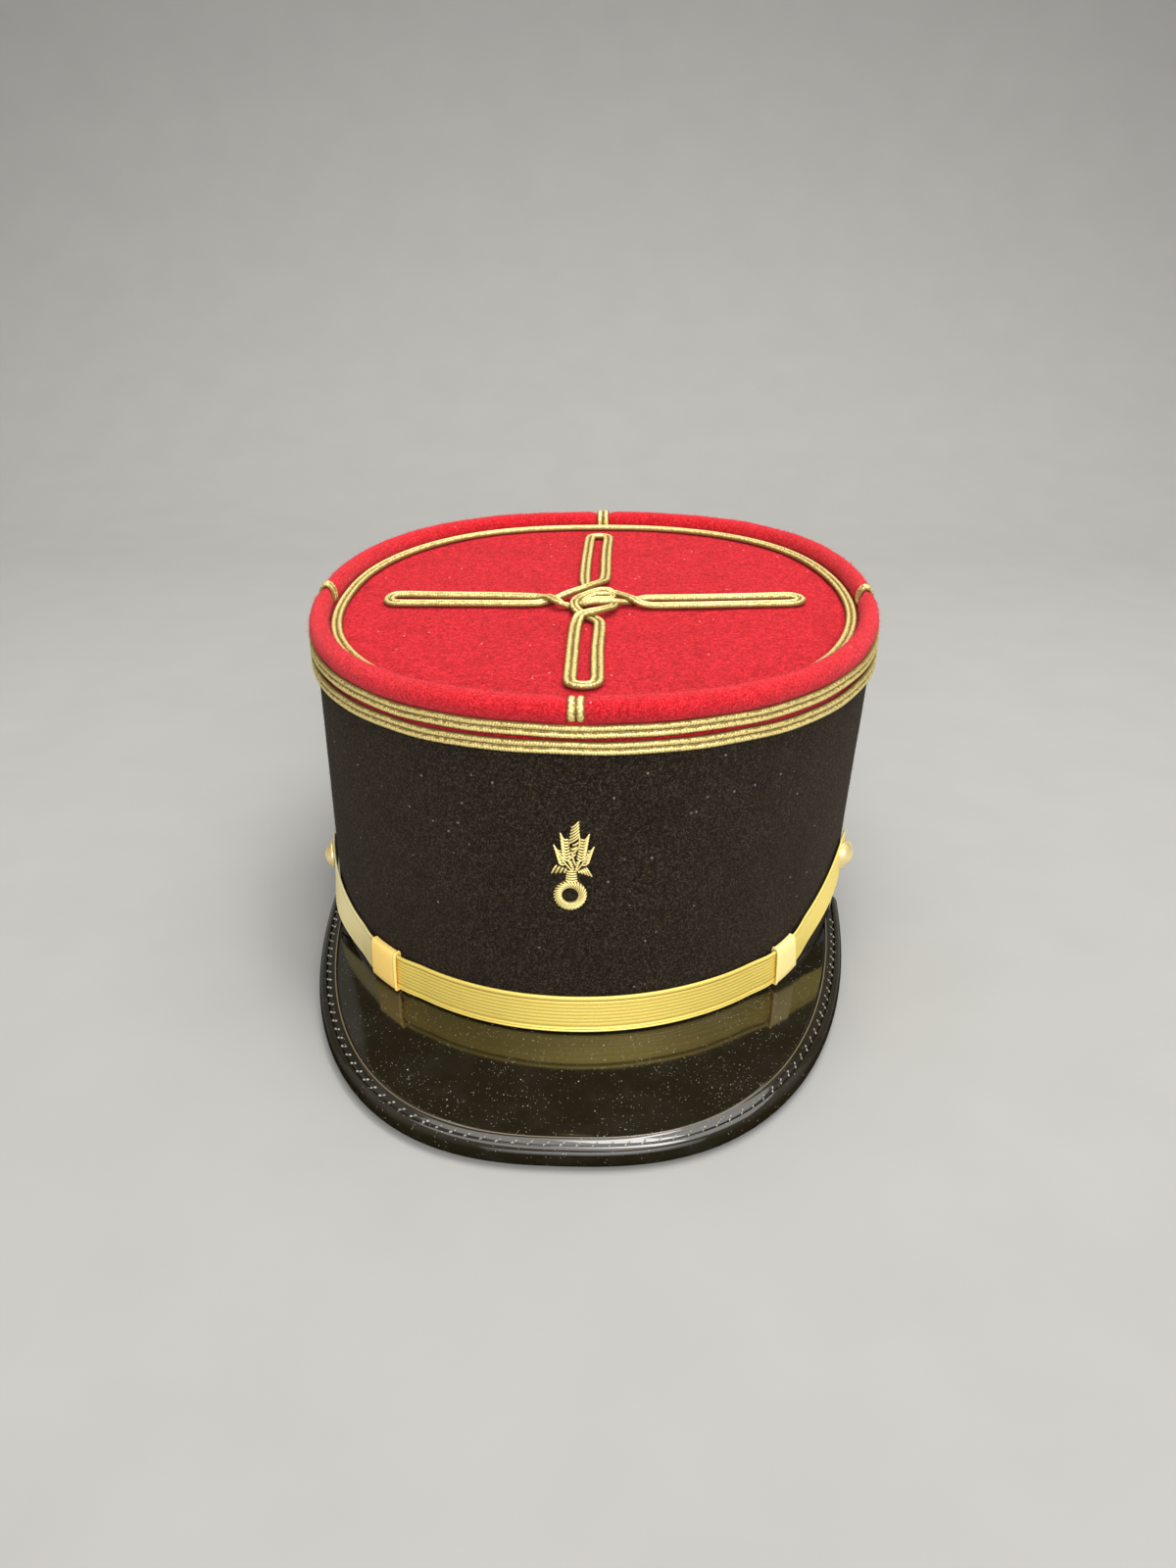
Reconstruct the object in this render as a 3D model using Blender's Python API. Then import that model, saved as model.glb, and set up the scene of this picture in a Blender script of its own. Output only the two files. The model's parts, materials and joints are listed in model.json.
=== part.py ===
"""A kepi: a tall black felt band under a red cloth crown, with gold braids and a patent leather peak.

The cap rests on z = 0, on the back of its band and the front of its peak, and faces -Y. Lengths are
millimetres until a mesh is made. Places are worked out about the middle of the head opening, and the
empty that holds the pieces moves them, so that the origin is under the middle of the whole cap.
"""

import math

import bmesh
import bpy
from mathutils import Vector

MM = 0.001
GAP = 0.3  # between pieces that touch
AROUND = 64  # steps round a ring

# Head opening: an oval at the height of the strap's lower edge
HEAD_HALF_WIDTH = 84.5
HEAD_HALF_LENGTH = 100.8
HEAD_POWER = 2.05
WALL = 2.4
BAND_FRONT_RISE = 5.2  # the peak lifts the band's front edge off the table
BAND_FLAT_FROM = 60.0  # behind this the band's edge lies flat on the table
STRAP_LINE_FRONT = 7.6

# Top of the black felt, where the crown begins
TOP_HALF_WIDTH = 86.6
TOP_HALF_LENGTH = 92.2
TOP_MIDDLE_Y = -3.5
TOP_LEAN = 2.8  # the soft felt leans a little to +X
TOP_POWER_FRONT = 2.04
TOP_POWER_BACK = 2.18
TOP_HEIGHT = 92.1
TOP_SLOPE = 0.032  # rise towards the back
TOP_SADDLE = 0.5  # the sides dip, the front and back rise
TOP_RIPPLE = 0.8
FELT_OVERLAP = 2.0  # felt hidden behind the lower braid

# Crown, as heights above the top of the felt and outward offsets from its oval
STRIP_BOTTOM = 2.3
ROLL_MIDDLE = 11.4
ROLL_HALF_HEIGHT = 3.6
ROLL_OUTER = 2.0
ROLL_INNER = -5.2
ROLL_FOOT = 8.4
ROLL_TURNS = (-48, -20, 10, 40, 68, 95, 122, 150, 180, 222)
RIM_INSIDE = -4.1
DISC_EDGE = RIM_INSIDE - 0.45
DISC_TOP = 8.1
DISC_THICKNESS = 2.0
DISC_MIDDLE = 0.3  # flat share in the middle

# Soutache: a flat braid with two cord ridges
BRAID_WIDTH = 3.8
BRAID_EDGE = 0.9
BRAID_RIDGE = 1.3
BRAID_GROOVE = 0.9
BRAID_GAP = 0.8  # red line between the two braids round the crown
LOWER_BRAID_FOOT = 0.1
TOP_BRAID_INSET = 5.45  # from the top oval to the outside of the braid on the top

# Short braids over the roll
RISER_TURNS = (-38, -15, 10, 35, 60, 90, 120, 145, 170, 193)
RISER_ANGLES = {"front": -91, "back": 90, "left": 180, "right": 0}

# Knot on the top
KNOT_MIDDLE_Y = -2.2
KNOT_SIDE_REACH = 67.1
KNOT_LONG_REACH = 74.0
KNOT_SIDE_SPREAD = 3.5  # middle of a leg to the middle line of a side loop
KNOT_LONG_SPREAD = 3.3  # the same for the front and back loops
KNOT_CORNER = 0.75  # radius of a loop's corners as a share of its spread
KNOT_LEG_START = 14.0
KNOT_STRAND_WIDTH = 3.6
KNOT_RING = 4.6
KNOT_RING_LIFT = 0.5
KNOT_RING_WIDTH = 6.2

# Front strap
STRAP_WIDTH = 11.5
STRAP_THICKNESS = 1.4
STRAP_STEPS = 54
STRAP_TIP = 5.0  # degrees over which an end rounds off
STRAP_TIP_LEAST = 0.3  # of the width
LACE_CHAMFER = 0.3
STRAP_ENDS = {"left": -80.0, "right": 75.0}
SLIDES = {"left": (-40.1, 12.2), "right": (44.0, 9.2)}  # angle from the front, length
SLIDE_WALL = 0.7
SLIDE_SIDE = 0.45
SLIDE_RUNS = (-1, -0.33, 0.33, 1)
SLIDE_RAMP = 9.0  # the strap comes down to the wall over this length
SLIDE_LIFT = SLIDE_WALL + GAP
STRAP_PATHS = {  # angle round the head from the front, height of the strap's middle
    "left": (
        (0.0, 14.2),
        (20.0, 14.2),
        (38.0, 14.2),
        (45.0, 14.4),
        (52.0, 15.4),
        (59.0, 17.4),
        (66.0, 19.4),
        (74.0, 21.3),
        (81.0, 22.8),
    ),
    "right": (
        (0.0, 14.2),
        (20.0, 14.2),
        (38.0, 14.4),
        (45.0, 15.6),
        (52.0, 18.9),
        (59.0, 23.6),
        (66.0, 28.6),
        (74.0, 33.6),
        (81.0, 36.5),
    ),
}

# Buttons
BUTTON_ANGLES = {"left": -76.0, "right": 68.7}
BUTTON_RADIUS = 4.6
BUTTON_PROFILE = (  # radius as a share of the button's, height above its back
    (1.0, 0.0),
    (1.0, 0.6),
    (0.9, 0.7),
    (0.86, 1.4),
    (0.66, 2.4),
    (0.36, 3.0),
)
BUTTON_SIDES = 20

# Peak
PEAK_REACH = 145.5  # from the middle of the head to the front of the rolled edge
PEAK_HALF_WIDTH = 84.5
PEAK_MIDDLE_Y = 5.5
PEAK_POWER = 2.59
PEAK_TOP_AT_BORDER = 5.6
PEAK_TOP_AT_WALL = 7.4
PEAK_THICKNESS = 2.0
PEAK_ARCH = 0.3
PEAK_END_Y = -52.0
PEAK_FAN = 0.72  # turn round the head for each turn round the peak's outline
PEAK_TUCK = 4.0  # run past the wall, cut off by it
PEAK_STEPS = 32
CLEARANCE_HEIGHTS = (-5.0, 30.0)

# Rolled edge of the peak, with a stitched border along its inside
EDGE_HALF_WIDTH = 2.2
EDGE_HALF_HEIGHT = 2.9
EDGE_RISE = 2.8  # it climbs towards its ends
EDGE_END_Y = -27.0
EDGE_STEPS = 36
BORDER_WIDTH = 5.1  # from the outside of the rolled edge to the border's inner line
BORDER_SECTION = (  # across from the outside, up from the middle of the roll
    (BORDER_WIDTH, 1.0),
    (BORDER_WIDTH, 3.5),
    (4.5, 3.6),
    (4.2, 3.3),
    (2.9, 3.0),
    (2.6, 2.6),
)
EDGE_TURNS = (82, 105, 130, 155, 180, 205, 230, 255, 280, 305, 330)

# Badge, as a flat outline about the middle of its ring
BADGE_HEIGHT = 50.8
BADGE_SHIFT = -1.5  # stays over the middle of the peak
BADGE_RING = 4.45
BADGE_HOLE = 2.0
BADGE_RING_STEPS = 20
BADGE_HOLE_STEPS = 14
BADGE_RELIEF = 1.1
BADGE_BEVEL = 0.35
BADGE_NECK_HALF = 1.6
BADGE_FLAMES = (  # half of the flames, from the neck to the tip: across, up
    (1.6, 6.2),
    (4.9, 5.6),
    (5.3, 6.8),
    (4.2, 9.0),
    (2.5, 8.7),
    (4.0, 10.6),
    (5.3, 14.5),
    (3.4, 13.2),
    (3.8, 17.9),
    (1.9, 16.3),
    (1.5, 18.9),
)
BADGE_TIP = (0.6, 21.4)

RED = (0.50, 0.012, 0.025)
BLACK = (0.012, 0.012, 0.016)
GOLD_THREAD = (0.78, 0.55, 0.16)
GILT = (0.85, 0.60, 0.22)
PATENT = (0.008, 0.008, 0.009)

FINISHES = {  # colour, roughness, metallic
    "red_cloth": (RED, 0.95, 0.0),
    "black_felt": (BLACK, 0.95, 0.0),
    "gold_braid": (GOLD_THREAD, 0.45, 0.6),
    "gold_lace": (GOLD_THREAD, 0.4, 0.7),
    "gold_bullion": (GOLD_THREAD, 0.35, 0.8),
    "gilt_metal": (GILT, 0.25, 1.0),
    "patent_leather": (PATENT, 0.08, 0.0),
}


def clear_scene():
    for thing in list(bpy.data.objects):
        bpy.data.objects.remove(thing)


def finish(name):
    found = bpy.data.materials.get(name)
    if found:
        return found
    colour, roughness, metallic = FINISHES[name]
    made = bpy.data.materials.new(name)
    made.use_nodes = True
    shader = made.node_tree.nodes["Principled BSDF"]
    shader.inputs["Base Color"].default_value = (*colour, 1.0)
    shader.inputs["Roughness"].default_value = roughness
    shader.inputs["Metallic"].default_value = metallic
    return made


def place_piece(name, mesh, material, holder):
    piece = bpy.data.objects.new(name, mesh)
    bpy.context.collection.objects.link(piece)
    mesh.materials.append(finish(material))
    mesh.shade_smooth()
    mesh.set_sharp_from_angle(angle=math.radians(40))
    piece.parent = holder
    return piece


def add_loft(shape, loops, closed):
    rows = [[shape.verts.new(Vector(point) * MM) for point in loop] for loop in loops]
    for first, second in zip(rows, rows[1:] + rows[:1] if closed else rows[1:]):
        count = len(first)
        for i in range(count):
            j = (i + 1) % count
            shape.faces.new((first[i], first[j], second[j], second[i]))
    if not closed:
        shape.faces.new(rows[0])
        shape.faces.new(rows[-1])


def lofts(name, parts):
    """A mesh through closed loops of points, each part round to its first loop or capped at both ends."""
    shape = bmesh.new()
    for loops, closed in parts:
        add_loft(shape, loops, closed)
    bmesh.ops.recalc_face_normals(shape, faces=shape.faces)
    mesh = bpy.data.meshes.new(name)
    shape.to_mesh(mesh)
    shape.free()
    return mesh


def loft(name, loops, closed):
    return lofts(name, [(loops, closed)])


def oval(angle, half_width, half_length, middle_y, front_power, back_power):
    """A point of an oval whose front and back halves have their own fullness."""
    across, along = math.cos(angle), math.sin(angle)
    power = front_power if along < 0 else back_power
    reach = (abs(across) ** power + abs(along) ** power) ** (-1 / power)
    return half_width * reach * across, middle_y + half_length * reach * along


def head_oval(angle, out=0.0):
    return oval(angle, HEAD_HALF_WIDTH + out, HEAD_HALF_LENGTH + out, 0.0, HEAD_POWER, HEAD_POWER)


def top_oval(angle, out=0.0):
    half_width = TOP_HALF_WIDTH + out
    half_length = TOP_HALF_LENGTH + out
    x, y = oval(angle, half_width, half_length, TOP_MIDDLE_Y, TOP_POWER_FRONT, TOP_POWER_BACK)
    return x + TOP_LEAN, y


def angles(count=AROUND):
    return [2 * math.pi * i / count for i in range(count)]


def clamp(value, low=0.0, high=1.0):
    return max(low, min(high, value))


def strap_line(y):
    return STRAP_LINE_FRONT * (HEAD_HALF_LENGTH - y) / (2 * HEAD_HALF_LENGTH)


def band_edge(y):
    return BAND_FRONT_RISE * clamp((BAND_FLAT_FROM - y) / (BAND_FLAT_FROM + HEAD_HALF_LENGTH))


def top_line(angle, y, share=1.0):
    """Height of the felt's top: a gentle slope, and waves that fade towards the middle."""
    waves = TOP_RIPPLE * math.sin(3 * angle) - TOP_SADDLE * math.cos(2 * angle)
    return TOP_HEIGHT + TOP_SLOPE * y + waves * share * share


def wall(angle, height, out=0.0):
    """A point on the band's outside, or as far out from it as given."""
    x0, y0 = head_oval(angle, out)
    x1, y1 = top_oval(angle, out)
    low = strap_line(head_oval(angle)[1])
    high = top_line(angle, top_oval(angle)[1])
    share = min((height - low) / (high - low), 1.0)
    return x0 + (x1 - x0) * share, y0 + (y1 - y0) * share, height


def crown(angle, out, up):
    """A point given by its offset from the crown's oval and its height above the felt's top."""
    x, y = top_oval(angle, out)
    return x, y, top_line(angle, top_oval(angle)[1]) + up


def disc_surface(x, y, up=0.0):
    """A point over the recessed top."""
    back = y > TOP_MIDDLE_Y
    power = TOP_POWER_BACK if back else TOP_POWER_FRONT
    across = (x - TOP_LEAN) / TOP_HALF_WIDTH
    along = (y - TOP_MIDDLE_Y) / TOP_HALF_LENGTH
    share = (abs(across) ** power + abs(along) ** power) ** (1 / power)
    return x, y, top_line(math.atan2(along, across), y, share) + DISC_TOP + up


def braid_profile(width=BRAID_WIDTH):
    """Across and up, from one foot of the braid over its two ridges to the other."""
    half = width / 2
    return (
        (-half, 0.0),
        (-half, BRAID_EDGE),
        (-half / 2, BRAID_RIDGE),
        (0.0, BRAID_GROOVE),
        (half / 2, BRAID_RIDGE),
        (half, BRAID_EDGE),
        (half, 0.0),
    )


def smooth_table(table, value):
    """The table read at a value, with a smooth curve through its rows."""
    keys = [row[0] for row in table]
    if value >= keys[-1]:
        return table[-1][1]
    i = max(k for k in range(len(keys) - 1) if keys[k] <= value)
    width = keys[i + 1] - keys[i]
    share = (value - keys[i]) / width

    def slope(k):
        low, high = max(k - 1, 0), min(k + 1, len(keys) - 1)
        return (table[high][1] - table[low][1]) / (keys[high] - keys[low])

    a, b = table[i][1], table[i + 1][1]
    lead, trail = slope(i) * width, slope(i + 1) * width
    cube, square = share**3, share**2
    return (
        (2 * cube - 3 * square + 1) * a
        + (cube - 2 * square + share) * lead
        + (3 * square - 2 * cube) * b
        + (cube - square) * trail
    )


def make_band(holder):
    def row(height_of, out):
        return [wall(a, height_of(a), out) for a in angles()]

    def edge(angle):
        return band_edge(head_oval(angle)[1])

    def felt_top(angle):
        return top_line(angle, top_oval(angle)[1])

    def hidden_top(angle):
        return felt_top(angle) + FELT_OVERLAP

    loops = [row(edge, 0), row(felt_top, 0), row(hidden_top, 0)]
    loops += [row(hidden_top, -WALL), row(felt_top, -WALL), row(edge, -WALL)]
    place_piece("band", loft("band", loops, closed=True), "black_felt", holder)


def roll_outline():
    """Offsets and heights of the roll's round side, from its outer foot over the crest to the disc."""
    middle = (ROLL_OUTER + ROLL_INNER) / 2
    half = (ROLL_OUTER - ROLL_INNER) / 2
    outline = []
    for turn in ROLL_TURNS:
        a = math.radians(turn)
        outline.append((middle + half * math.cos(a), ROLL_MIDDLE + ROLL_HALF_HEIGHT * math.sin(a)))
    return outline


def make_crown(holder):
    under = DISC_TOP - DISC_THICKNESS
    section = [(0.0, STRIP_BOTTOM), (0.0, ROLL_FOOT)] + roll_outline()
    section += [(RIM_INSIDE, under), (-WALL, under), (-WALL, STRIP_BOTTOM)]
    loops = [[crown(a, out, up) for a in angles()] for out, up in section]
    place_piece("crown_rim", loft("crown_rim", loops, closed=True), "red_cloth", holder)

    def disc_row(share, up):
        middle = Vector((TOP_LEAN, TOP_MIDDLE_Y))
        row = []
        for a in angles():
            edge = Vector(top_oval(a, DISC_EDGE))
            x, y = middle + (edge - middle) * share
            row.append(disc_surface(x, y, up))
        return row

    loops = [disc_row(DISC_MIDDLE, -DISC_THICKNESS), disc_row(1.0, -DISC_THICKNESS)]
    loops += [disc_row(1.0, 0.0), disc_row(0.65, 0.0), disc_row(DISC_MIDDLE, 0.0)]
    place_piece("crown_top", loft("crown_top", loops, closed=False), "red_cloth", holder)


def make_ring_braids(holder):
    upper_foot = LOWER_BRAID_FOOT + BRAID_WIDTH + BRAID_GAP
    for name, foot in (("lower_braid", LOWER_BRAID_FOOT), ("upper_braid", upper_foot)):
        middle = foot + BRAID_WIDTH / 2
        loops = [
            [crown(a, GAP + raised, middle + across) for a in angles()]
            for across, raised in braid_profile()
        ]
        place_piece(name, loft(name, loops, closed=True), "gold_braid", holder)

    loops = []
    for across, raised in braid_profile():
        inset = TOP_BRAID_INSET + BRAID_WIDTH / 2 + across
        loops.append([disc_surface(*top_oval(a, -inset), GAP + raised) for a in angles()])
    place_piece("top_oval_braid", loft("top_oval_braid", loops, closed=True), "gold_braid", holder)


def make_risers(holder):
    """Short braids over the roll. Each section is the braid's profile, turned to stand off the roll."""
    middle = Vector(((ROLL_OUTER + ROLL_INNER) / 2, ROLL_MIDDLE))
    half = Vector(((ROLL_OUTER - ROLL_INNER) / 2 + GAP, ROLL_HALF_HEIGHT + GAP))
    for side, degrees in RISER_ANGLES.items():
        angle = math.radians(degrees)
        x, y = top_oval(angle)
        outward = Vector((round(math.cos(angle)), round(math.sin(angle)), 0))
        along = Vector((-outward.y, outward.x, 0))
        foot = Vector((x, y, top_line(angle, y)))
        loops = []
        for turn in RISER_TURNS:
            a = math.radians(turn)
            spot = middle + Vector((half.x * math.cos(a), half.y * math.sin(a)))
            away = Vector((half.y * math.cos(a), half.x * math.sin(a))).normalized()
            loop = []
            for across, raised in braid_profile():
                out, up = spot + away * raised
                loop.append(foot + outward * out + Vector((0, 0, up)) + along * across)
            loops.append(loop)
        name = "riser_braid_" + side
        place_piece(name, loft(name, loops, closed=False), "gold_braid", holder)


def knot_loop(reach, spread):
    """Stations of a loop that points to +Y, up its right leg, round its end and down the left leg.
    Each is x, y and lift."""
    corner = spread * KNOT_CORNER
    end_x, end_y = spread - corner, reach - BRAID_WIDTH / 2 - corner
    leg = [(spread, KNOT_LEG_START + (end_y - KNOT_LEG_START) * share, 0.0) for share in (0, 0.33, 0.67)]
    bend = []
    for turn in (0, 30, 60, 90):
        a = math.radians(turn)
        bend.append((end_x + corner * math.cos(a), end_y + corner * math.sin(a), 0.0))
    half = leg + bend
    return half + [(-x, y, lift) for x, y, lift in reversed(half)]


def knot_crossing(spread, next_spread):
    """Stations from the right leg of a loop that points to +Y, over its left leg, and under the
    upper leg of the next loop, which points to -X, to that loop's lower leg."""
    start, end = KNOT_LEG_START + 2.0, -KNOT_LEG_START - 2.0
    return [
        (spread - 0.1, start, 0.1),
        (spread - 0.4, 14.0, 0.7),
        (0.6, 12.1, 1.6),
        (-2.2, 9.8, 1.6),
        (-5.0, 7.0, 1.1),
        (-7.6, 4.2, 0.6),
        (-10.2, 1.3, 0.3),
        (-13.0, 0.2 - next_spread, 0.1),
        (end, 0.1 - next_spread, 0.1),
    ]


def turned(stations, quarter):
    """Stations turned round the middle by quarters of a turn."""
    cosine, sine = ((1, 0), (0, 1), (-1, 0), (0, -1))[quarter]
    return [(x * cosine - y * sine, x * sine + y * cosine, lift) for x, y, lift in stations]


def lay_on_disc(stations, width, closed):
    """Sections of a braid laid along stations on the recessed top."""
    last = len(stations) - 1
    loops = []
    for i, (x, y, lift) in enumerate(stations):
        ahead = stations[0 if i == last and closed else min(i + 1, last)]
        behind = stations[i - 1 if closed else max(i - 1, 0)]
        way = Vector((ahead[0] - behind[0], ahead[1] - behind[1])).normalized()
        side = Vector((way.y, -way.x))
        loop = []
        for across, raised in braid_profile(width):
            spot = Vector((x + TOP_LEAN, y + KNOT_MIDDLE_Y)) + side * across
            loop.append(disc_surface(spot.x, spot.y, GAP + lift + raised))
        loops.append(loop)
    return loops


def make_knot(holder):
    """Four loops, joined by strands that cross over and under, and a ring in the middle."""
    spreads = (KNOT_LONG_SPREAD, KNOT_SIDE_SPREAD) * 2
    reaches = (KNOT_LONG_REACH, KNOT_SIDE_REACH) * 2
    ends, strands = [], []
    for quarter in range(4):
        spread, next_spread = spreads[quarter], spreads[(quarter + 1) % 4]
        loop = turned(knot_loop(reaches[quarter], spread), quarter)
        ends.append((lay_on_disc(loop, BRAID_WIDTH, False), False))
        strand = turned(knot_crossing(spread, next_spread), quarter)
        strands.append((lay_on_disc(strand, KNOT_STRAND_WIDTH, False), False))
    ring = [(KNOT_RING * math.cos(a), KNOT_RING * math.sin(a), KNOT_RING_LIFT) for a in angles(12)]
    strands.append((lay_on_disc(ring, KNOT_RING_WIDTH, True), True))
    knot = place_piece("top_knot", lofts("top_knot", ends), "gold_braid", holder)
    middle = place_piece("knot_middle", lofts("knot_middle", strands), "gold_braid", holder)
    middle.hide_render = True
    middle.display_type = "WIRE"
    join = knot.modifiers.new("Middle", "BOOLEAN")
    join.operation = "UNION"
    join.solver = "EXACT"
    join.use_self = True
    join.object = middle


def badge_outline():
    right = list(BADGE_FLAMES)
    left = [(-x, z) for x, z in reversed(right)]
    start = math.asin(BADGE_NECK_HALF / BADGE_RING)
    arc = []
    for i in range(BADGE_RING_STEPS + 1):
        turn = math.pi / 2 + start + 2 * (math.pi - start) * i / BADGE_RING_STEPS
        arc.append((BADGE_RING * math.cos(turn), BADGE_RING * math.sin(turn)))
    return arc + right + [BADGE_TIP] + left


def make_badge(holder):
    drawing = bpy.data.curves.new("badge_outline", "CURVE")
    drawing.dimensions = "2D"
    drawing.fill_mode = "BOTH"
    drawing.extrude = BADGE_RELIEF / 2 - BADGE_BEVEL
    drawing.bevel_depth = BADGE_BEVEL
    drawing.bevel_resolution = 0
    hole = [(BADGE_HOLE * math.cos(a), BADGE_HOLE * math.sin(a)) for a in angles(BADGE_HOLE_STEPS)]
    for points in (badge_outline(), hole):
        line = drawing.splines.new("POLY")
        line.points.add(len(points) - 1)
        for spot, (x, z) in zip(line.points, points):
            spot.co = (x, z, 0, 1)
        line.use_cyclic_u = True
    flat = bpy.data.objects.new("badge_outline", drawing)
    mesh = bpy.data.meshes.new_from_object(flat)
    bpy.data.objects.remove(flat)
    shape = bmesh.new()
    shape.from_mesh(mesh)
    bmesh.ops.remove_doubles(shape, verts=shape.verts, dist=0.001)
    for corner in shape.verts:
        across, up, depth = corner.co
        angle = -math.pi / 2 + (across + BADGE_SHIFT) / HEAD_HALF_WIDTH
        out = GAP + BADGE_RELIEF / 2 + depth
        corner.co = Vector(wall(angle, BADGE_HEIGHT + up, out)) * MM
    bmesh.ops.recalc_face_normals(shape, faces=shape.faces)
    mesh.clear_geometry()
    shape.to_mesh(mesh)
    shape.free()
    mesh.materials.clear()
    place_piece("front_badge", mesh, "gold_bullion", holder)


class HeadLine:
    """Distance round the head from the front, and back to the angle."""

    STEPS = 720
    FURTHEST = math.radians(100)

    def __init__(self):
        self.distances = [0.0]
        self.turns = [0.0]
        last = head_oval(-math.pi / 2)
        for i in range(1, self.STEPS + 1):
            turn = self.FURTHEST * i / self.STEPS
            spot = head_oval(-math.pi / 2 + turn)
            self.distances.append(self.distances[-1] + math.dist(last, spot))
            self.turns.append(turn)
            last = spot

    def read(self, keys, values, wanted):
        size = abs(wanted)
        i = next((k for k in range(1, len(keys)) if keys[k] >= size), len(keys) - 1)
        share = (size - keys[i - 1]) / (keys[i] - keys[i - 1])
        return math.copysign(values[i - 1] + (values[i] - values[i - 1]) * share, wanted)

    def angle(self, distance):
        return -math.pi / 2 + self.read(self.distances, self.turns, distance)

    def distance(self, degrees):
        return self.read(self.turns, self.distances, math.radians(degrees))


def strap_height(degrees):
    return smooth_table(STRAP_PATHS["left" if degrees < 0 else "right"], abs(degrees))


def strap_station(line, degrees):
    """Middle of the strap unrolled on the wall: distance from the front, height, and its direction."""
    step = 0.5
    low, here, high = (
        Vector((line.distance(turn), strap_height(turn))) for turn in (degrees - step, degrees, degrees + step)
    )
    return here, (high - low).normalized()


def slide_lift(line, distance):
    """How far the slide's back lifts the strap off the wall at this distance from the front."""
    nearest = min(abs(distance - line.distance(turn)) - length / 2 for turn, length in SLIDES.values())
    fade = clamp(1 - (nearest - 1.0) / SLIDE_RAMP)
    return SLIDE_LIFT * fade * fade * (3 - 2 * fade)


def lace_outline(half, back, front, chamfer):
    """Across and out, round a flat lace with its front corners taken off."""
    shoulder = front - LACE_CHAMFER
    corner = half - chamfer
    return (
        (-half, back),
        (-half, shoulder),
        (-corner, front),
        (corner, front),
        (half, shoulder),
        (half, back),
    )


def strap_section(line, degrees, outline):
    """A closed section across the strap, from points across it and out from the wall."""
    here, way = strap_station(line, degrees)
    up = Vector((-way.y, way.x))
    loop = []
    for across, out in outline:
        spot = here + up * across
        loop.append(wall(line.angle(spot.x), spot.y, out))
    return loop


def make_strap(holder, line):
    half = STRAP_WIDTH / 2
    left, right = STRAP_ENDS["left"], STRAP_ENDS["right"]
    loops = []
    for i in range(STRAP_STEPS + 1):
        turn = left + (right - left) * i / STRAP_STEPS
        lift = GAP + slide_lift(line, line.distance(turn))
        top = lift + STRAP_THICKNESS
        tip = clamp(min(turn - left, right - turn) / STRAP_TIP)
        width = half * max(math.sqrt(1 - (1 - tip) ** 2), STRAP_TIP_LEAST)
        loops.append(strap_section(line, turn, lace_outline(width, lift, top, 2 * LACE_CHAMFER)))
    place_piece("chin_strap", loft("chin_strap", loops, closed=False), "gold_lace", holder)


def make_slides(holder, line):
    """Each slide is a flat tube of lace round the strap."""
    inner_half = STRAP_WIDTH / 2 + GAP
    outer_half = inner_half + SLIDE_SIDE
    inner_back = GAP + SLIDE_WALL
    inner_front = inner_back + STRAP_THICKNESS + 2 * GAP
    front = inner_front + SLIDE_WALL
    outer = lace_outline(outer_half, GAP, front, LACE_CHAMFER)
    inner = lace_outline(inner_half, inner_back, inner_front, LACE_CHAMFER)
    for side, (middle, length) in SLIDES.items():
        half_turn = math.degrees(length / 2 / HEAD_HALF_LENGTH)
        turns = [middle + half_turn * share for share in SLIDE_RUNS]
        loops = [strap_section(line, turn, outer) for turn in turns]
        loops += [strap_section(line, turn, inner) for turn in reversed(turns)]
        name = "strap_slide_" + side
        place_piece(name, loft(name, loops, closed=True), "gold_lace", holder)


def make_buttons(holder, line):
    back = GAP + STRAP_THICKNESS + GAP
    for side, degrees in BUTTON_ANGLES.items():
        here, _ = strap_station(line, degrees)
        angle = line.angle(here.x)
        base = Vector(wall(angle, here.y, back))
        outward = (Vector(wall(angle, here.y, back + 10)) - base).normalized()
        level = Vector((0, 0, 1)).cross(outward).normalized()
        upward = outward.cross(level)
        loops = []
        for share, height in BUTTON_PROFILE:
            loops.append(
                [
                    base
                    + outward * height
                    + (level * math.cos(a) + upward * math.sin(a)) * BUTTON_RADIUS * share
                    for a in angles(BUTTON_SIDES)
                ]
            )
        name = "button_" + side
        place_piece(name, loft(name, loops, closed=False), "gilt_metal", holder)


def peak_outline(angle, inset):
    """A point of the peak's outline, moved in from the outside of the rolled edge."""
    half_length = PEAK_REACH + PEAK_MIDDLE_Y - inset
    half_width = PEAK_HALF_WIDTH - inset
    return oval(angle, half_width, half_length, PEAK_MIDDLE_Y, PEAK_POWER, PEAK_POWER)


def outline_turn(y_wanted, inset):
    """Angle from the front at which the outline has come back to a given y."""
    low, high = 0.0, math.pi / 2
    for _ in range(40):
        half = (low + high) / 2
        if peak_outline(-math.pi / 2 + half, inset)[1] < y_wanted:
            low = half
        else:
            high = half
    return low


def edge_height(y):
    """Height of the middle of the rolled edge."""
    back = clamp((y + PEAK_REACH) / (PEAK_REACH + EDGE_END_Y))
    return EDGE_HALF_HEIGHT + EDGE_RISE * back**1.5


def make_clearance(holder):
    """The band's outside with a gap, which cuts the peak to fit it."""
    loops = [[wall(a, height, GAP) for a in angles()] for height in CLEARANCE_HEIGHTS]
    cutter = place_piece("band_clearance", loft("band_clearance", loops, closed=False), "black_felt", holder)
    cutter.hide_render = True
    cutter.display_type = "WIRE"
    return cutter


def fit_to_band(piece, cutter):
    cut = piece.modifiers.new("Band", "BOOLEAN")
    cut.operation = "DIFFERENCE"
    cut.solver = "EXACT"
    cut.object = cutter


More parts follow.
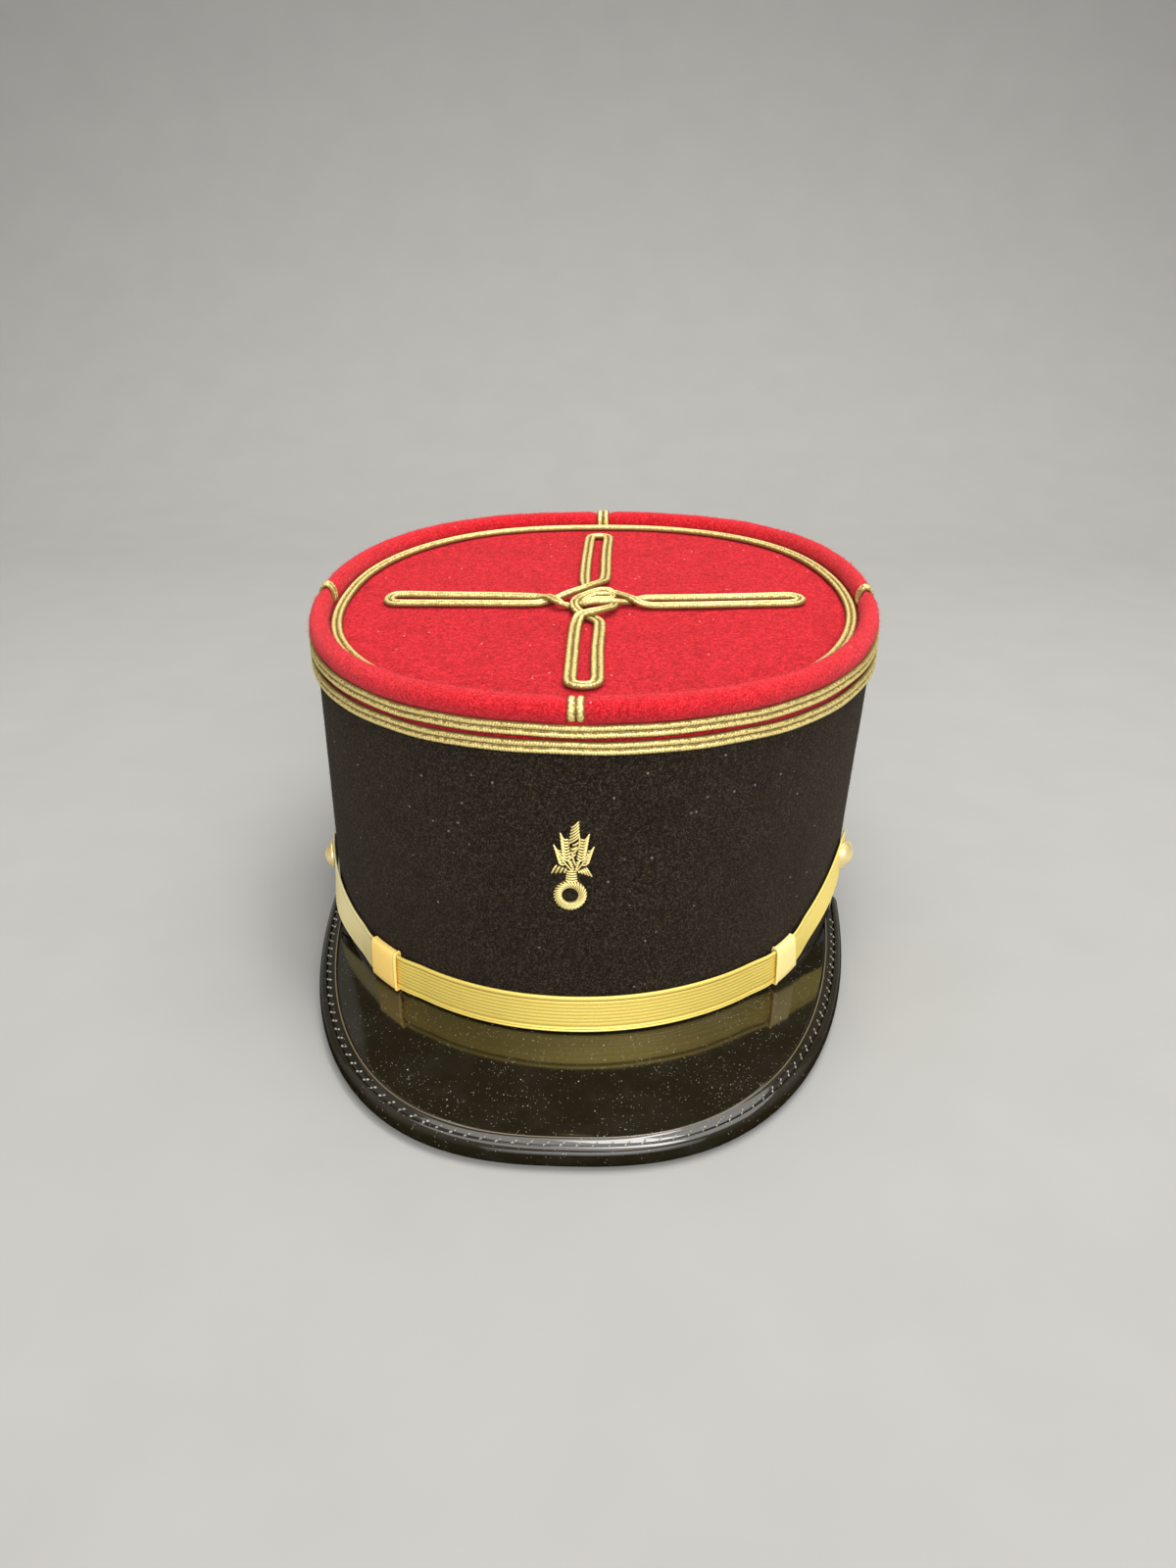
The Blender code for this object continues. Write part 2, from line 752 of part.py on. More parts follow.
def make_peak(holder, cutter):
    """A plate that climbs from the border to the wall in a shallow arch."""
    inset = BORDER_WIDTH + GAP
    end = outline_turn(PEAK_END_Y, inset)
    loops = []
    for i in range(PEAK_STEPS + 1):
        angle = -math.pi / 2 - end + 2 * end * i / PEAK_STEPS
        edge = Vector(peak_outline(angle, inset))
        back = Vector(head_oval(-math.pi / 2 + (angle + math.pi / 2) * PEAK_FAN, -PEAK_TUCK))
        top = PEAK_TOP_AT_BORDER - EDGE_HALF_HEIGHT + edge_height(edge.y)
        upper = []
        for share in (0.0, 0.25, 0.5, 0.75, 1.0):
            spot = edge + (back - edge) * share
            height = top + (PEAK_TOP_AT_WALL - top) * share + PEAK_ARCH * math.sin(math.pi * share)
            upper.append((spot.x, spot.y, height))
        lower = [(x, y, z - PEAK_THICKNESS) for x, y, z in reversed(upper)]
        loops.append(upper + lower)
    peak = place_piece("peak", loft("peak", loops, closed=False), "patent_leather", holder)
    fit_to_band(peak, cutter)


def make_binding(holder, cutter):
    section = list(BORDER_SECTION)
    for turn in EDGE_TURNS:
        a = math.radians(turn)
        section.append((EDGE_HALF_WIDTH + EDGE_HALF_WIDTH * math.cos(a), EDGE_HALF_HEIGHT * math.sin(a)))
    end = outline_turn(EDGE_END_Y, EDGE_HALF_WIDTH)
    loops = []
    for i in range(EDGE_STEPS + 1):
        angle = -math.pi / 2 - end + 2 * end * i / EDGE_STEPS
        height = edge_height(peak_outline(angle, 0.0)[1])
        loops.append([(*peak_outline(angle, inset), height + up) for inset, up in section])
    binding = place_piece("peak_binding", loft("peak_binding", loops, closed=False), "patent_leather", holder)
    fit_to_band(binding, cutter)


def make_kepi():
    clear_scene()
    holder = bpy.data.objects.new("kepi", None)
    holder.location = Vector((-TOP_LEAN, (PEAK_REACH - HEAD_HALF_LENGTH) / 2, 0)) * MM
    bpy.context.collection.objects.link(holder)
    line = HeadLine()
    make_band(holder)
    make_crown(holder)
    make_ring_braids(holder)
    make_risers(holder)
    make_knot(holder)
    make_badge(holder)
    make_strap(holder, line)
    make_slides(holder, line)
    make_buttons(holder, line)
    cutter = make_clearance(holder)
    make_peak(holder, cutter)
    make_binding(holder, cutter)


make_kepi()
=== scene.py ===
"""The finished look of a kepi: wool felt, gold soutache, lace and bullion, gilt buttons, patent leather.

Pieces are made in millimetres about the middle of the head opening, many of them flat, as a cap maker
would cut them. They are then laid on the cap, and sew() moves them to their place in metres.
"""

import json
import math

import bmesh
import bpy
import numpy as np
from mathutils import Matrix, Vector, noise

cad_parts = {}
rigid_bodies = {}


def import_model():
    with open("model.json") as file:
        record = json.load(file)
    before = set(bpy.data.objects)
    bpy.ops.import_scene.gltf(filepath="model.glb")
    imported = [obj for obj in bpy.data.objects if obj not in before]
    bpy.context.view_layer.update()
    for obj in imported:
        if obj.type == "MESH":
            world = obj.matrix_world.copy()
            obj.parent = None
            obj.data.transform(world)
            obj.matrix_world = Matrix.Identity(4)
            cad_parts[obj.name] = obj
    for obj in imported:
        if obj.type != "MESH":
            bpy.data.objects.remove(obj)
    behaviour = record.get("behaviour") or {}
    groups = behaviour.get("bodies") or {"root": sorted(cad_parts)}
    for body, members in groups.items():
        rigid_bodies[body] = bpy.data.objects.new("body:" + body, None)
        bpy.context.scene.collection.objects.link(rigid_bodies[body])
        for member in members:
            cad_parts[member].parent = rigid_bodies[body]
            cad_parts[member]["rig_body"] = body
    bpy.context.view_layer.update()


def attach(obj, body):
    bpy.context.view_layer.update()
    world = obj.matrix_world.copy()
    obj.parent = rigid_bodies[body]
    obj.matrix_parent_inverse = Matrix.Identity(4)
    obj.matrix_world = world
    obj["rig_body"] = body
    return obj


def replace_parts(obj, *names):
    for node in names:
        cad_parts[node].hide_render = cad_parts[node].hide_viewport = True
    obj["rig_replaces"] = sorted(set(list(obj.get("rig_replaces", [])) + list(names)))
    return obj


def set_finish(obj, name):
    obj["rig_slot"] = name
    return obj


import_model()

MM = 0.001
MIDDLE = np.array((-2.8, 22.35, 0.0))  # middle of the head opening
GAP = 0.3  # between pieces that are sewn together
TOUCHING = 0.002  # points closer than this are merged
FINE = 4001  # points of an outline that is measured

# The felt's shape
HEAD_HALF_WIDTH = 84.5
HEAD_HALF_LENGTH = 100.8
HEAD_POWER = 2.05
WALL = 2.4
BAND_FRONT_RISE = 5.2
BAND_FLAT_FROM = 60.0
STRAP_LINE_FRONT = 7.6
TOP_HALF_WIDTH = 86.6
TOP_HALF_LENGTH = 92.2
TOP_MIDDLE_Y = -3.5
TOP_LEAN = 2.8
TOP_POWER_FRONT = 2.04
TOP_POWER_BACK = 2.18
TOP_HEIGHT = 92.1
TOP_SLOPE = 0.032
TOP_SADDLE = 0.5
TOP_RIPPLE = 0.8
FELT_OVERLAP = 2.0

# The crown
STRIP_BOTTOM = 2.3
ROLL_MIDDLE = (-1.6, 11.4)
ROLL_RADIUS = 3.6
ROLL_NARROWS = 0.75
ROLL_DROPS = 0.45
ROLL_FOOT = 8.4
CREASE_UP = 9.9  # the roll's crease above the strip
CREASE_WIDTH = 0.9
CREASE_DEPTH = 0.16
ROLL_ROWS = 256  # the most that the torus tool makes
ROLL_POINTS = 28  # points round the section of the strip and its roll
ROLL_ROUND = (4, 21)  # the first and the last of them that lie on the padded roll
RIM_INSIDE = -4.1
DISC_EDGE = -4.55
DISC_TOP = 8.1
DISC_PUFF = 0.8
DISC_CROWN = 0.5
DISC_THICKNESS = 2.0
DISC_HOLE = 0.02  # share of the disc where its rows of faces begin

# Braids
BRAID_WIDTH = 3.8
BRAID_PULL = 0.96  # the ring braids are drawn a little narrower
BRAID_FEET = {"lower_braid": 0.1, "upper_braid": 4.7}
RED_LINE_OPENS = 0.75
TOP_BRAID_INSET = 7.3
RISERS = {"front": -90.6, "back": 90, "left": 180, "right": 0}
RISER_ENDS = (-42, 200)  # angles round the roll's section
RISER_SINKS = 1.3
RISER_BACK_EASE = 0.6
RISER_SPREAD = 1.2
RISER_SIDE_LIFT = 1.1
PINCH_HALF_WIDTH = 1.4
PINCH_FADES = 2.2
CROWN_RADIUS = 88.0  # on average, to turn angles round the roll into distances
THREAD_PITCH = 0.8
THREAD_RELIEF = 0.2
THREAD_SLANT = 0.55
CORD_CREST = 0.95  # from the braid's middle to the crest of each of its two cords
BRAID_SECTION = np.array(  # across and up, round the two cords and back along the flat underside
    (
        ((-1.9, 0.35), (-1.78, 0.95), (-1.36, 1.33), (-0.76, 1.36), (-0.26, 1.02), (0.0, 0.2), (0.26, 1.02))
        + ((0.76, 1.36), (1.36, 1.33), (1.78, 0.95), (1.9, 0.35), (1.5, 0.0), (0.0, 0.0), (-1.5, 0.0))
    )
)

# Knot: the line of its one braid, as across, along and lift from the knot's middle
KNOT_MIDDLE_Y = -2.2
KNOT_LINE = (
    # the back loop's right leg crosses its left one and goes to the left loop
    (2.9, 22.4, 0.1), (2.3, 14.8, 0.7), (-1.3, 7.8, 1.6), (-4.5, 3.8, 1.6), (-7.8, 1.6, 1.2),
    (-10.5, -0.3, 0.6), (-12.4, -1.4, 0.1), (-14.3, -3.0, 0.0), (-17.0, -4.9, 0.0), (-20.5, -5.5, 0.0),
    (-33.0, -5.4, 0.0), (-48.0, -4.9, 0.0), (-61.8, -4.4, 0.0), (-64.7, -3.2, 0.0), (-65.4, -0.4, 0.0),
    (-64.7, 2.4, 0.0), (-61.8, 3.6, 0.0), (-48.0, 2.7, 0.0), (-33.0, 2.1, 0.0), (-21.0, 1.2, 0.0),
    # the left loop's upper leg goes through the middle to the right loop
    (-17.2, 0.1, 0.1), (-14.4, -2.8, 1.2), (-11.9, -6.6, 1.5), (-10.0, -7.9, 1.0), (-8.3, -7.9, 0.2),
    (-6.4, -8.1, 0.1), (-4.8, -8.1, 0.6), (-3.1, -8.9, 1.0), (-1.0, -8.7, 1.4), (1.4, -8.1, 1.5),
    (3.6, -7.7, 1.4), (6.4, -7.0, 1.3), (9.1, -5.9, 0.7), (11.3, -4.1, 0.1), (14.0, -1.4, 0.0),
    (17.3, 0.2, 0.0), (26.0, 0.8, 0.0), (35.4, 1.6, 0.0), (50.0, 3.2, 0.0), (61.0, 4.6, 0.0),
    (64.2, 3.6, 0.0), (65.2, 1.3, 0.0), (64.2, -1.0, 0.0), (61.0, -2.3, 0.0), (50.0, -3.7, 0.0),
    (35.0, -5.4, 0.0), (26.0, -6.2, 0.0), (18.5, -6.7, 0.0),
    # the right loop's lower leg coils round the middle and goes to the front loop
    (14.9, -6.6, 0.7), (12.4, -5.2, 1.5), (9.9, -1.7, 1.2), (7.3, 1.5, 0.9), (5.8, 1.9, 1.2),
    (4.4, 2.4, 1.7), (2.2, 2.4, 1.8), (0.0, 1.0, 1.7), (-2.0, -1.2, 1.7), (-3.9, -3.4, 1.6),
    (-5.3, -6.2, 1.6), (-5.9, -9.7, 1.5), (-5.2, -12.4, 0.8), (-3.4, -14.7, 0.1), (-1.7, -16.8, 0.0),
    (0.6, -19.4, 0.0), (2.4, -23.0, 0.0), (2.7, -30.0, 0.0), (2.7, -45.0, 0.0), (3.2, -60.0, 0.0),
    (3.4, -67.5, 0.0), (2.6, -71.0, 0.0), (-0.2, -72.1, 0.0), (-3.0, -71.0, 0.0), (-3.9, -67.5, 0.0),
    (-4.2, -55.0, 0.0), (-4.5, -42.0, 0.0), (-4.6, -33.0, 0.0), (-4.6, -25.9, 0.0),
    # the front loop's left leg sweeps to the right and turns back under
    (-4.2, -21.6, 0.4), (-3.4, -19.4, 1.2), (-0.8, -18.0, 1.6), (2.1, -16.2, 1.6), (4.4, -13.9, 1.4),
    (6.2, -11.0, 1.0), (6.5, -7.2, 0.4), (5.2, -3.6, 0.1), (2.9, -0.7, 0.1), (0.6, 2.8, 0.2),
    (-1.4, 7.2, 0.1), (-3.2, 11.8, 0.0), (-3.7, 16.9, 0.0), (-4.0, 25.0, 0.0), (-4.2, 40.0, 0.0),
    (-4.2, 55.0, 0.0), (-4.1, 67.5, 0.0), (-3.3, 71.0, 0.0), (-0.8, 72.1, 0.0), (1.8, 71.0, 0.0),
    (2.6, 67.5, 0.0), (2.5, 55.0, 0.0), (2.6, 40.0, 0.0), (2.8, 30.0, 0.0),
)
KNOT_CORE = (  # a tight bight of the same braid that fills the middle, under the strands above it
    (-4.4, -7.6, 0.2), (-3.2, -5.8, 0.7), (-1.2, -3.3, 1.3), (1.0, -1.7, 1.6), (3.4, -1.3, 1.6),
    (5.4, -2.0, 1.5), (6.1, -3.3, 1.4), (5.0, -4.6, 1.3), (3.2, -4.9, 1.3), (1.2, -4.9, 1.3),
    (-0.8, -5.8, 1.1), (-2.8, -8.0, 0.5),
)
KNOT_NARROWS = 0.26  # how much the strands are drawn in where they cross
CORE_NARROWS = 0.48

# Strap, slides and buttons
STRAP_WIDTH = 11.5
STRAP_THICKNESS = 1.4
LACE_RIB = 1.1
LACE_RIB_AT = 3.4  # how far up from the middle one of the ribs is
LACE_TOP_ROLL = 1.45
LACE_LOW_CORDS = 1.6
LACE_GROOVES = (4.15, -4.1)
RIBS_END = (-62.0, 68.0)  # the ribs show between the slides
STRAP_ENDS = {"left": -80.0, "right": 73.6}
STRAP_FLARES = {"left": (-61.0, 1.6), "right": (62.0, 1.0)}  # where and how far the foot stands out
STRAP_FLARE_RUN = 14.0
SLIDES = {"left": (-40.1, 12.2), "right": (44.0, 9.2)}  # angle from the front, length
SLIDE_SQUARENESS = 2 / 5
SLIDE_HALF_WIDTH = 6.0
SLIDE_HALF_DEPTH = 1.02
SLIDE_MIDDLE_OUT = 1.72  # from the wall
SLIDE_LEAST_OUT = 0.34
SLIDE_LIFT = 0.8
SLIDE_RAMP = 9.0
STRAP_TURNS = (0.0, 20.0, 38.0, 45.0, 52.0, 59.0, 66.0, 74.0, 81.0)  # angles round the head from the front
STRAP_HEIGHTS = {  # height of the strap's middle at each of them
    "left": (14.2, 14.2, 14.2, 14.4, 15.4, 17.4, 19.4, 21.3, 22.8),
    "right": (14.2, 14.2, 14.4, 15.6, 18.9, 23.6, 28.6, 33.6, 36.5),
}
# Angle from the front, how far up from the strap's middle, turn to the front, and out from the strap
BUTTONS = {"left": (-76.0, -1.7, 0.0, -0.3), "right": (68.7, 0.0, 16.0, 0.0)}
BUTTON_RADIUS = 4.6
BUTTON_RINGS = (  # inset and rise of each step from the rim to the middle of the dome
    (0.35, 0.12), (0.3, -0.1), (0.35, 0.55), (0.6, 0.62), (0.8, 0.55), (0.9, 0.38), (0.7, 0.16)
)

# Peak
PEAK_REACH = 145.5
PEAK_HALF_WIDTH = 84.5
PEAK_MIDDLE_Y = 5.5
PEAK_POWER = 2.59
PEAK_TOP_AT_BORDER = 5.6
PEAK_TOP_AT_WALL = 7.4
PEAK_THICKNESS = 2.0
PEAK_ARCH = -0.25
PEAK_TUCK_RISE = 0.85
PEAK_END_Y = -52.0
PEAK_FAN = 0.72
EDGE_HALF_WIDTH = 2.2
EDGE_HALF_HEIGHT = 2.9
EDGE_RISE = 2.8
EDGE_END_Y = -27.0
BORDER_WIDTH = 5.1
EDGE_DULL_ROWS = (14.5, 17.5)  # rows of the edge's section over which its gloss ends
STITCH_INSET = 2.95
STITCH_PITCH = 4.0
STITCH_SIZE = (0.5, 0.27, 0.32)
STITCH_SLANT = 38
STITCH_HALF_PAIR = 0.45
STITCH_END_Y = -40.0

# Badge
BADGE_HEIGHT = 50.8
BADGE_SHIFT = -1.5
BADGE_SCALE = 1.07
COIL_RADIUS = 0.225
COIL_PITCH = 0.32


def oval(angle, half_width, half_length, middle_y, front_power, back_power):
    across, along = np.cos(angle), np.sin(angle)
    power = np.where(along < 0, front_power, back_power)
    reach = (np.abs(across) ** power + np.abs(along) ** power) ** (-1 / power)
    return half_width * reach * across, middle_y + half_length * reach * along


def head_oval(angle, out=0.0):
    return oval(angle, HEAD_HALF_WIDTH + out, HEAD_HALF_LENGTH + out, 0.0, HEAD_POWER, HEAD_POWER)


def top_oval(angle, out=0.0):
    half_width, half_length = TOP_HALF_WIDTH + out, TOP_HALF_LENGTH + out
    x, y = oval(angle, half_width, half_length, TOP_MIDDLE_Y, TOP_POWER_FRONT, TOP_POWER_BACK)
    return x + TOP_LEAN, y


def top_line(angle, y, share=1.0):
    waves = TOP_RIPPLE * np.sin(3 * angle) - TOP_SADDLE * np.cos(2 * angle)
    return TOP_HEIGHT + TOP_SLOPE * y + waves * share * share


def front(angle):
    """1 at the very front, falling to 0 at the sides and behind them."""
    return limit(-np.sin(angle))


def band_edge(angle):
    y = head_oval(angle)[1]
    return BAND_FRONT_RISE * limit((BAND_FLAT_FROM - y) / (BAND_FLAT_FROM + HEAD_HALF_LENGTH))


def felt_top(angle):
    return top_line(angle, top_oval(angle)[1])


def wall(angle, height, out=0.0):
    x0, y0 = head_oval(angle, out)
    x1, y1 = top_oval(angle, out)
    low = STRAP_LINE_FRONT * (HEAD_HALF_LENGTH - head_oval(angle)[1]) / (2 * HEAD_HALF_LENGTH)
    share = np.minimum((height - low) / (felt_top(angle) - low), 1.0)
    return x0 + (x1 - x0) * share, y0 + (y1 - y0) * share, height + 0 * x0


def crown(angle, out, up):
    x, y = top_oval(angle, out)
    return x, y, felt_top(angle) + up


def disc_surface(x, y, up=0.0):
    power = np.where(y > TOP_MIDDLE_Y, TOP_POWER_BACK, TOP_POWER_FRONT)
    across = (x - TOP_LEAN) / TOP_HALF_WIDTH
    along = (y - TOP_MIDDLE_Y) / TOP_HALF_LENGTH
    share = (np.abs(across) ** power + np.abs(along) ** power) ** (1 / power)
    puff = DISC_PUFF + DISC_CROWN * (1 - share * share)
    return x, y, top_line(np.arctan2(along, across), y, share) + DISC_TOP + puff + up


def roll_shape(angle):
    """The roll's half width and half height: fullest at the front, lowest at the back."""
    half_width = ROLL_RADIUS - ROLL_NARROWS * (1 - front(angle) ** 2)
    return half_width, ROLL_RADIUS - ROLL_DROPS * limit(np.sin(angle))


def lumps(x, y, z, size, seed=0.0):
    """Soft unevenness from -1 to 1, as hand-shaped felt has."""
    places = np.stack(np.broadcast_arrays(x, y, z), 1) / size + seed
    return np.array([noise.noise(Vector(place)) for place in places])


def limit(share):
    """Keeps a share from 0 to 1."""
    return np.clip(share, 0, 1)


def run_along(*axes):
    """Distance along a line at each of its points."""
    steps = np.linalg.norm(np.diff(np.stack(axes, 1), axis=0), axis=1)
    return np.concatenate(([0.0], np.cumsum(steps)))


def ring_angles(along, around):
    """The angle of every point of a torus, in rows."""
    return np.repeat(np.linspace(0, 2 * np.pi, along, endpoint=False), around)


def bell(away, width):
    return np.exp(-((away / width) ** 2))


def off_the_ends(share, steepness):
    """1 in the middle of a piece, falling to 0 at both of its ends."""
    return limit(share * steepness) * limit((1 - share) * steepness)


def measure_ring(outline, start):
    """Length of a closed outline, and the angle at a distance along it."""
    turns = start + np.linspace(0, 2 * np.pi, FINE)
    run = run_along(*outline(turns))
    return run[-1], lambda distance: np.interp(distance, run, turns)


def ease(share, start, end, slope_in, slope_out):
    """A smooth curve from start to end, with the slopes it has there."""
    cube, square = share**3, share**2
    return (
        (2 * cube - 3 * square + 1) * start
        + (cube - 2 * square + share) * slope_in
        + (3 * square - 2 * cube) * end
        + (cube - square) * slope_out
    )


# Hand tools


def put_down():
    if bpy.context.object and bpy.context.object.mode != "OBJECT":
        bpy.ops.object.mode_set(mode="OBJECT")
    bpy.ops.object.select_all(action="DESELECT")


def pick_up(*pieces):
    put_down()
    for piece in pieces:
        piece.select_set(True)
    bpy.context.view_layer.objects.active = pieces[0]


def open_mesh(piece):
    """Goes to edit mode with everything selected."""
    pick_up(piece)
    bpy.ops.object.mode_set(mode="EDIT")
    bpy.ops.mesh.select_all(action="SELECT")


def choose(piece, parts, test):
    """Selects the edges or faces of an open mesh that pass a test."""
    shape = bmesh.from_edit_mesh(piece.data)
    for part in getattr(shape, parts):
        part.select_set(test(part))
    shape.select_flush_mode()
    bmesh.update_edit_mesh(piece.data)


def close_mesh():
    bpy.ops.object.mode_set(mode="OBJECT")


def fresh(name, settle=False):
    """Names the piece just made, and settles it in its place where it was made turned or moved."""
    piece = bpy.context.object
    piece.name = name
    piece.data.name = name
    if settle:
        bpy.ops.object.transform_apply(location=True, rotation=True, scale=True)
    return piece


def spots(piece):
    flat = np.empty(len(piece.data.vertices) * 3, np.float32)
    piece.data.vertices.foreach_get("co", flat)
    return flat.reshape(-1, 3).astype(float)


def set_spots(piece, places):
    piece.data.vertices.foreach_set("co", np.ascontiguousarray(places, np.float32).ravel())
    piece.data.update()


def lay(piece, place):
    """Moves a piece that was made flat to where place(x, y, z) says."""
    set_spots(piece, np.stack(place(*spots(piece).T), 1))


def keep_flat(piece, flat):
    """Keeps the flat shape as a UV map in millimetres, for threads that follow the piece."""
    corners = np.empty(len(piece.data.loops), np.int32)
    piece.data.loops.foreach_get("vertex_index", corners)
    layer = piece.data.uv_layers.new(name="thread")
    layer.data.foreach_set("uv", flat[corners, :2].astype(np.float32).ravel())


def apply(piece, kind, **settings):
    pick_up(piece)
    modifier = piece.modifiers.new(kind.title(), kind)
    for key, value in settings.items():
        setattr(modifier, key, value)
    bpy.ops.object.modifier_apply(modifier=modifier.name)


def round_edges(piece, width, segments):
    limits = {"limit_method": "ANGLE", "angle_limit": math.radians(50)}
    apply(piece, "BEVEL", width=width, segments=segments, **limits)


def tidy_mesh(piece, caps=False):
    """Merges the seam, closes open ends and turns the faces outwards."""
    open_mesh(piece)
    bpy.ops.mesh.remove_doubles(threshold=TOUCHING)
    if caps:
        bpy.ops.mesh.fill_holes(sides=0)
        bpy.ops.mesh.select_all(action="SELECT")
    bpy.ops.mesh.normals_make_consistent(inside=False)
    close_mesh()


def tube(name, around, rows):
    """An open tube along Z from -0.5 to 0.5, in rows."""
    put_down()
    bpy.ops.mesh.primitive_cylinder_add(vertices=around, radius=1, depth=1, end_fill_type="NOTHING")
    piece = fresh(name)
    open_mesh(piece)
    bpy.ops.mesh.select_mode(type="EDGE")
    choose(piece, "edges", lambda edge: abs(edge.verts[0].co.z - edge.verts[1].co.z) > 0.5)
    bpy.ops.mesh.subdivide(number_cuts=rows - 1)
    bpy.ops.mesh.select_mode(type="VERT")
    close_mesh()
    return piece


def grid(name, columns, rows):
    """A flat sheet from -1 to 1 each way."""
    put_down()
    bpy.ops.mesh.primitive_grid_add(x_subdivisions=columns, y_subdivisions=rows, size=2)
    return fresh(name)


def torus(name, along, around):
    """A ring whose points can be read as rows along it and points round its section."""
    put_down()
    bpy.ops.mesh.primitive_torus_add(
        major_segments=along, minor_segments=around, major_radius=1, minor_radius=0.25
    )
    return fresh(name)


def join(name, pieces):
    pick_up(*pieces)
    bpy.ops.object.join()
    return fresh(name)


def copy(piece):
    twin = piece.copy()
    twin.data = piece.data.copy()
    bpy.context.collection.objects.link(twin)
    return twin


def sew(piece, finish, slot, *nodes, sharp=None):
    """Moves the finished piece to its place on the cap and gives it its finish."""
    set_spots(piece, (spots(piece) + MIDDLE) * MM)
    pick_up(piece)
    if sharp:
        bpy.ops.object.shade_smooth_by_angle(angle=math.radians(sharp))
    else:
        bpy.ops.object.shade_smooth()
    piece.data.materials.clear()
    piece.data.materials.append(finish)
    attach(piece, "root")
    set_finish(piece, slot)
    if nodes:
        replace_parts(piece, *nodes)
    put_down()
    return piece


# Finishes


def plug(value, socket):
    """Links or sets an input. A colour may be given as three numbers."""
    if isinstance(value, bpy.types.NodeSocket):
        socket.id_data.links.new(value, socket)
    elif socket.type == "RGBA" and len(value) == 3:
        socket.default_value = (*value, 1)
    else:
        socket.default_value = value


def connect(node, **inputs):
    """Links or sets inputs by name, where underscores stand for spaces, or by number, as in n1."""
    for key, value in inputs.items():
        plug(value, node.inputs[int(key[1:]) if key[1:].isdigit() else key.replace("_", " ")])


def add(tree, kind, settings=None, **inputs):
    node = tree.nodes.new(kind)
    for key, value in (settings or {}).items():
        setattr(node, key, value)
    connect(node, **inputs)
    return node


def maths(operation, *values):
    """Arithmetic on sockets and numbers, in the tree of the sockets. Many values are taken one by one."""
    if len(values) > 2:
        values = (maths(operation, *values[:-1]), values[-1])
    tree = next(value.id_data for value in values if isinstance(value, bpy.types.NodeSocket))
    inputs = {f"n{i}": value for i, value in enumerate(values)}
    return add(tree, "ShaderNodeMath", {"operation": operation}, **inputs).outputs[0]


def times(*values):
    return maths("MULTIPLY", *values)


def plus(first, second):
    return maths("ADD", first, second)


def minus(first, second):
    return maths("SUBTRACT", first, second)


def size_of(value):
    return maths("ABSOLUTE", value)


def blend(share, first, second):
    """The first colour where the share is 0, and the second where it is 1."""
    mix = add(share.id_data, "ShaderNodeMix", {"data_type": "RGBA"}, n0=share, n6=first, n7=second)
    return mix.outputs[2]


def ramp(value, low, high):
    """0 below low, 1 above high."""
    limits = add(value.id_data, "ShaderNodeMapRange", Value=value, From_Min=low, From_Max=high)
    return limits.outputs["Result"]


def thin_line(value, middle, half_width):
    """1 on a line of the given half width and 0 away from it, softened at its sides."""
    return ramp(size_of(minus(value, middle)), half_width * 1.5, half_width * 0.6)


def object_place(tree):
    return add(tree, "ShaderNodeTexCoord").outputs["Object"]


def thread_place(tree):
    """Place along and across the flat piece, from its UV map."""
    flat = add(tree, "ShaderNodeUVMap", {"uv_map": "thread"}).outputs["UV"]
    return add(tree, "ShaderNodeSeparateXYZ", Vector=flat).outputs[:2]


def noise_at(where, scale, detail=2.0, roughness=0.5):
    inputs = {"Vector": where, "Scale": scale, "Detail": detail, "Roughness": roughness}
    return add(where.id_data, "ShaderNodeTexNoise", **inputs).outputs["Fac"]


def strands_at(x, y, roughness):
    """Noise over the flat piece."""
    return noise_at(add(x.id_data, "ShaderNodeCombineXYZ", X=x, Y=y).outputs[0], 1.0, 2.0, roughness)


def cells_at(where, scale):
    """Distance to the nearest of many scattered points, and three chances that belong to that point."""
    cells = add(where.id_data, "ShaderNodeTexVoronoi", Vector=where, Scale=scale)
    chances = add(where.id_data, "ShaderNodeSeparateColor", Color=cells.outputs["Color"])
    return (cells.outputs["Distance"], *chances.outputs)


def start_group(name, colours, numbers, outputs):
    """A node group, its inputs and its output node. An output named as a colour input is a colour."""
    tree = bpy.data.node_groups.new(name, "ShaderNodeTree")
    for side, labels in (("INPUT", (*colours, *numbers)), ("OUTPUT", outputs)):
        for label in labels:
            kind = "NodeSocketColor" if label in colours else "NodeSocketFloat"
            tree.interface.new_socket(name=label, in_out=side, socket_type=kind)
    return tree, add(tree, "NodeGroupInput").outputs, add(tree, "NodeGroupOutput")


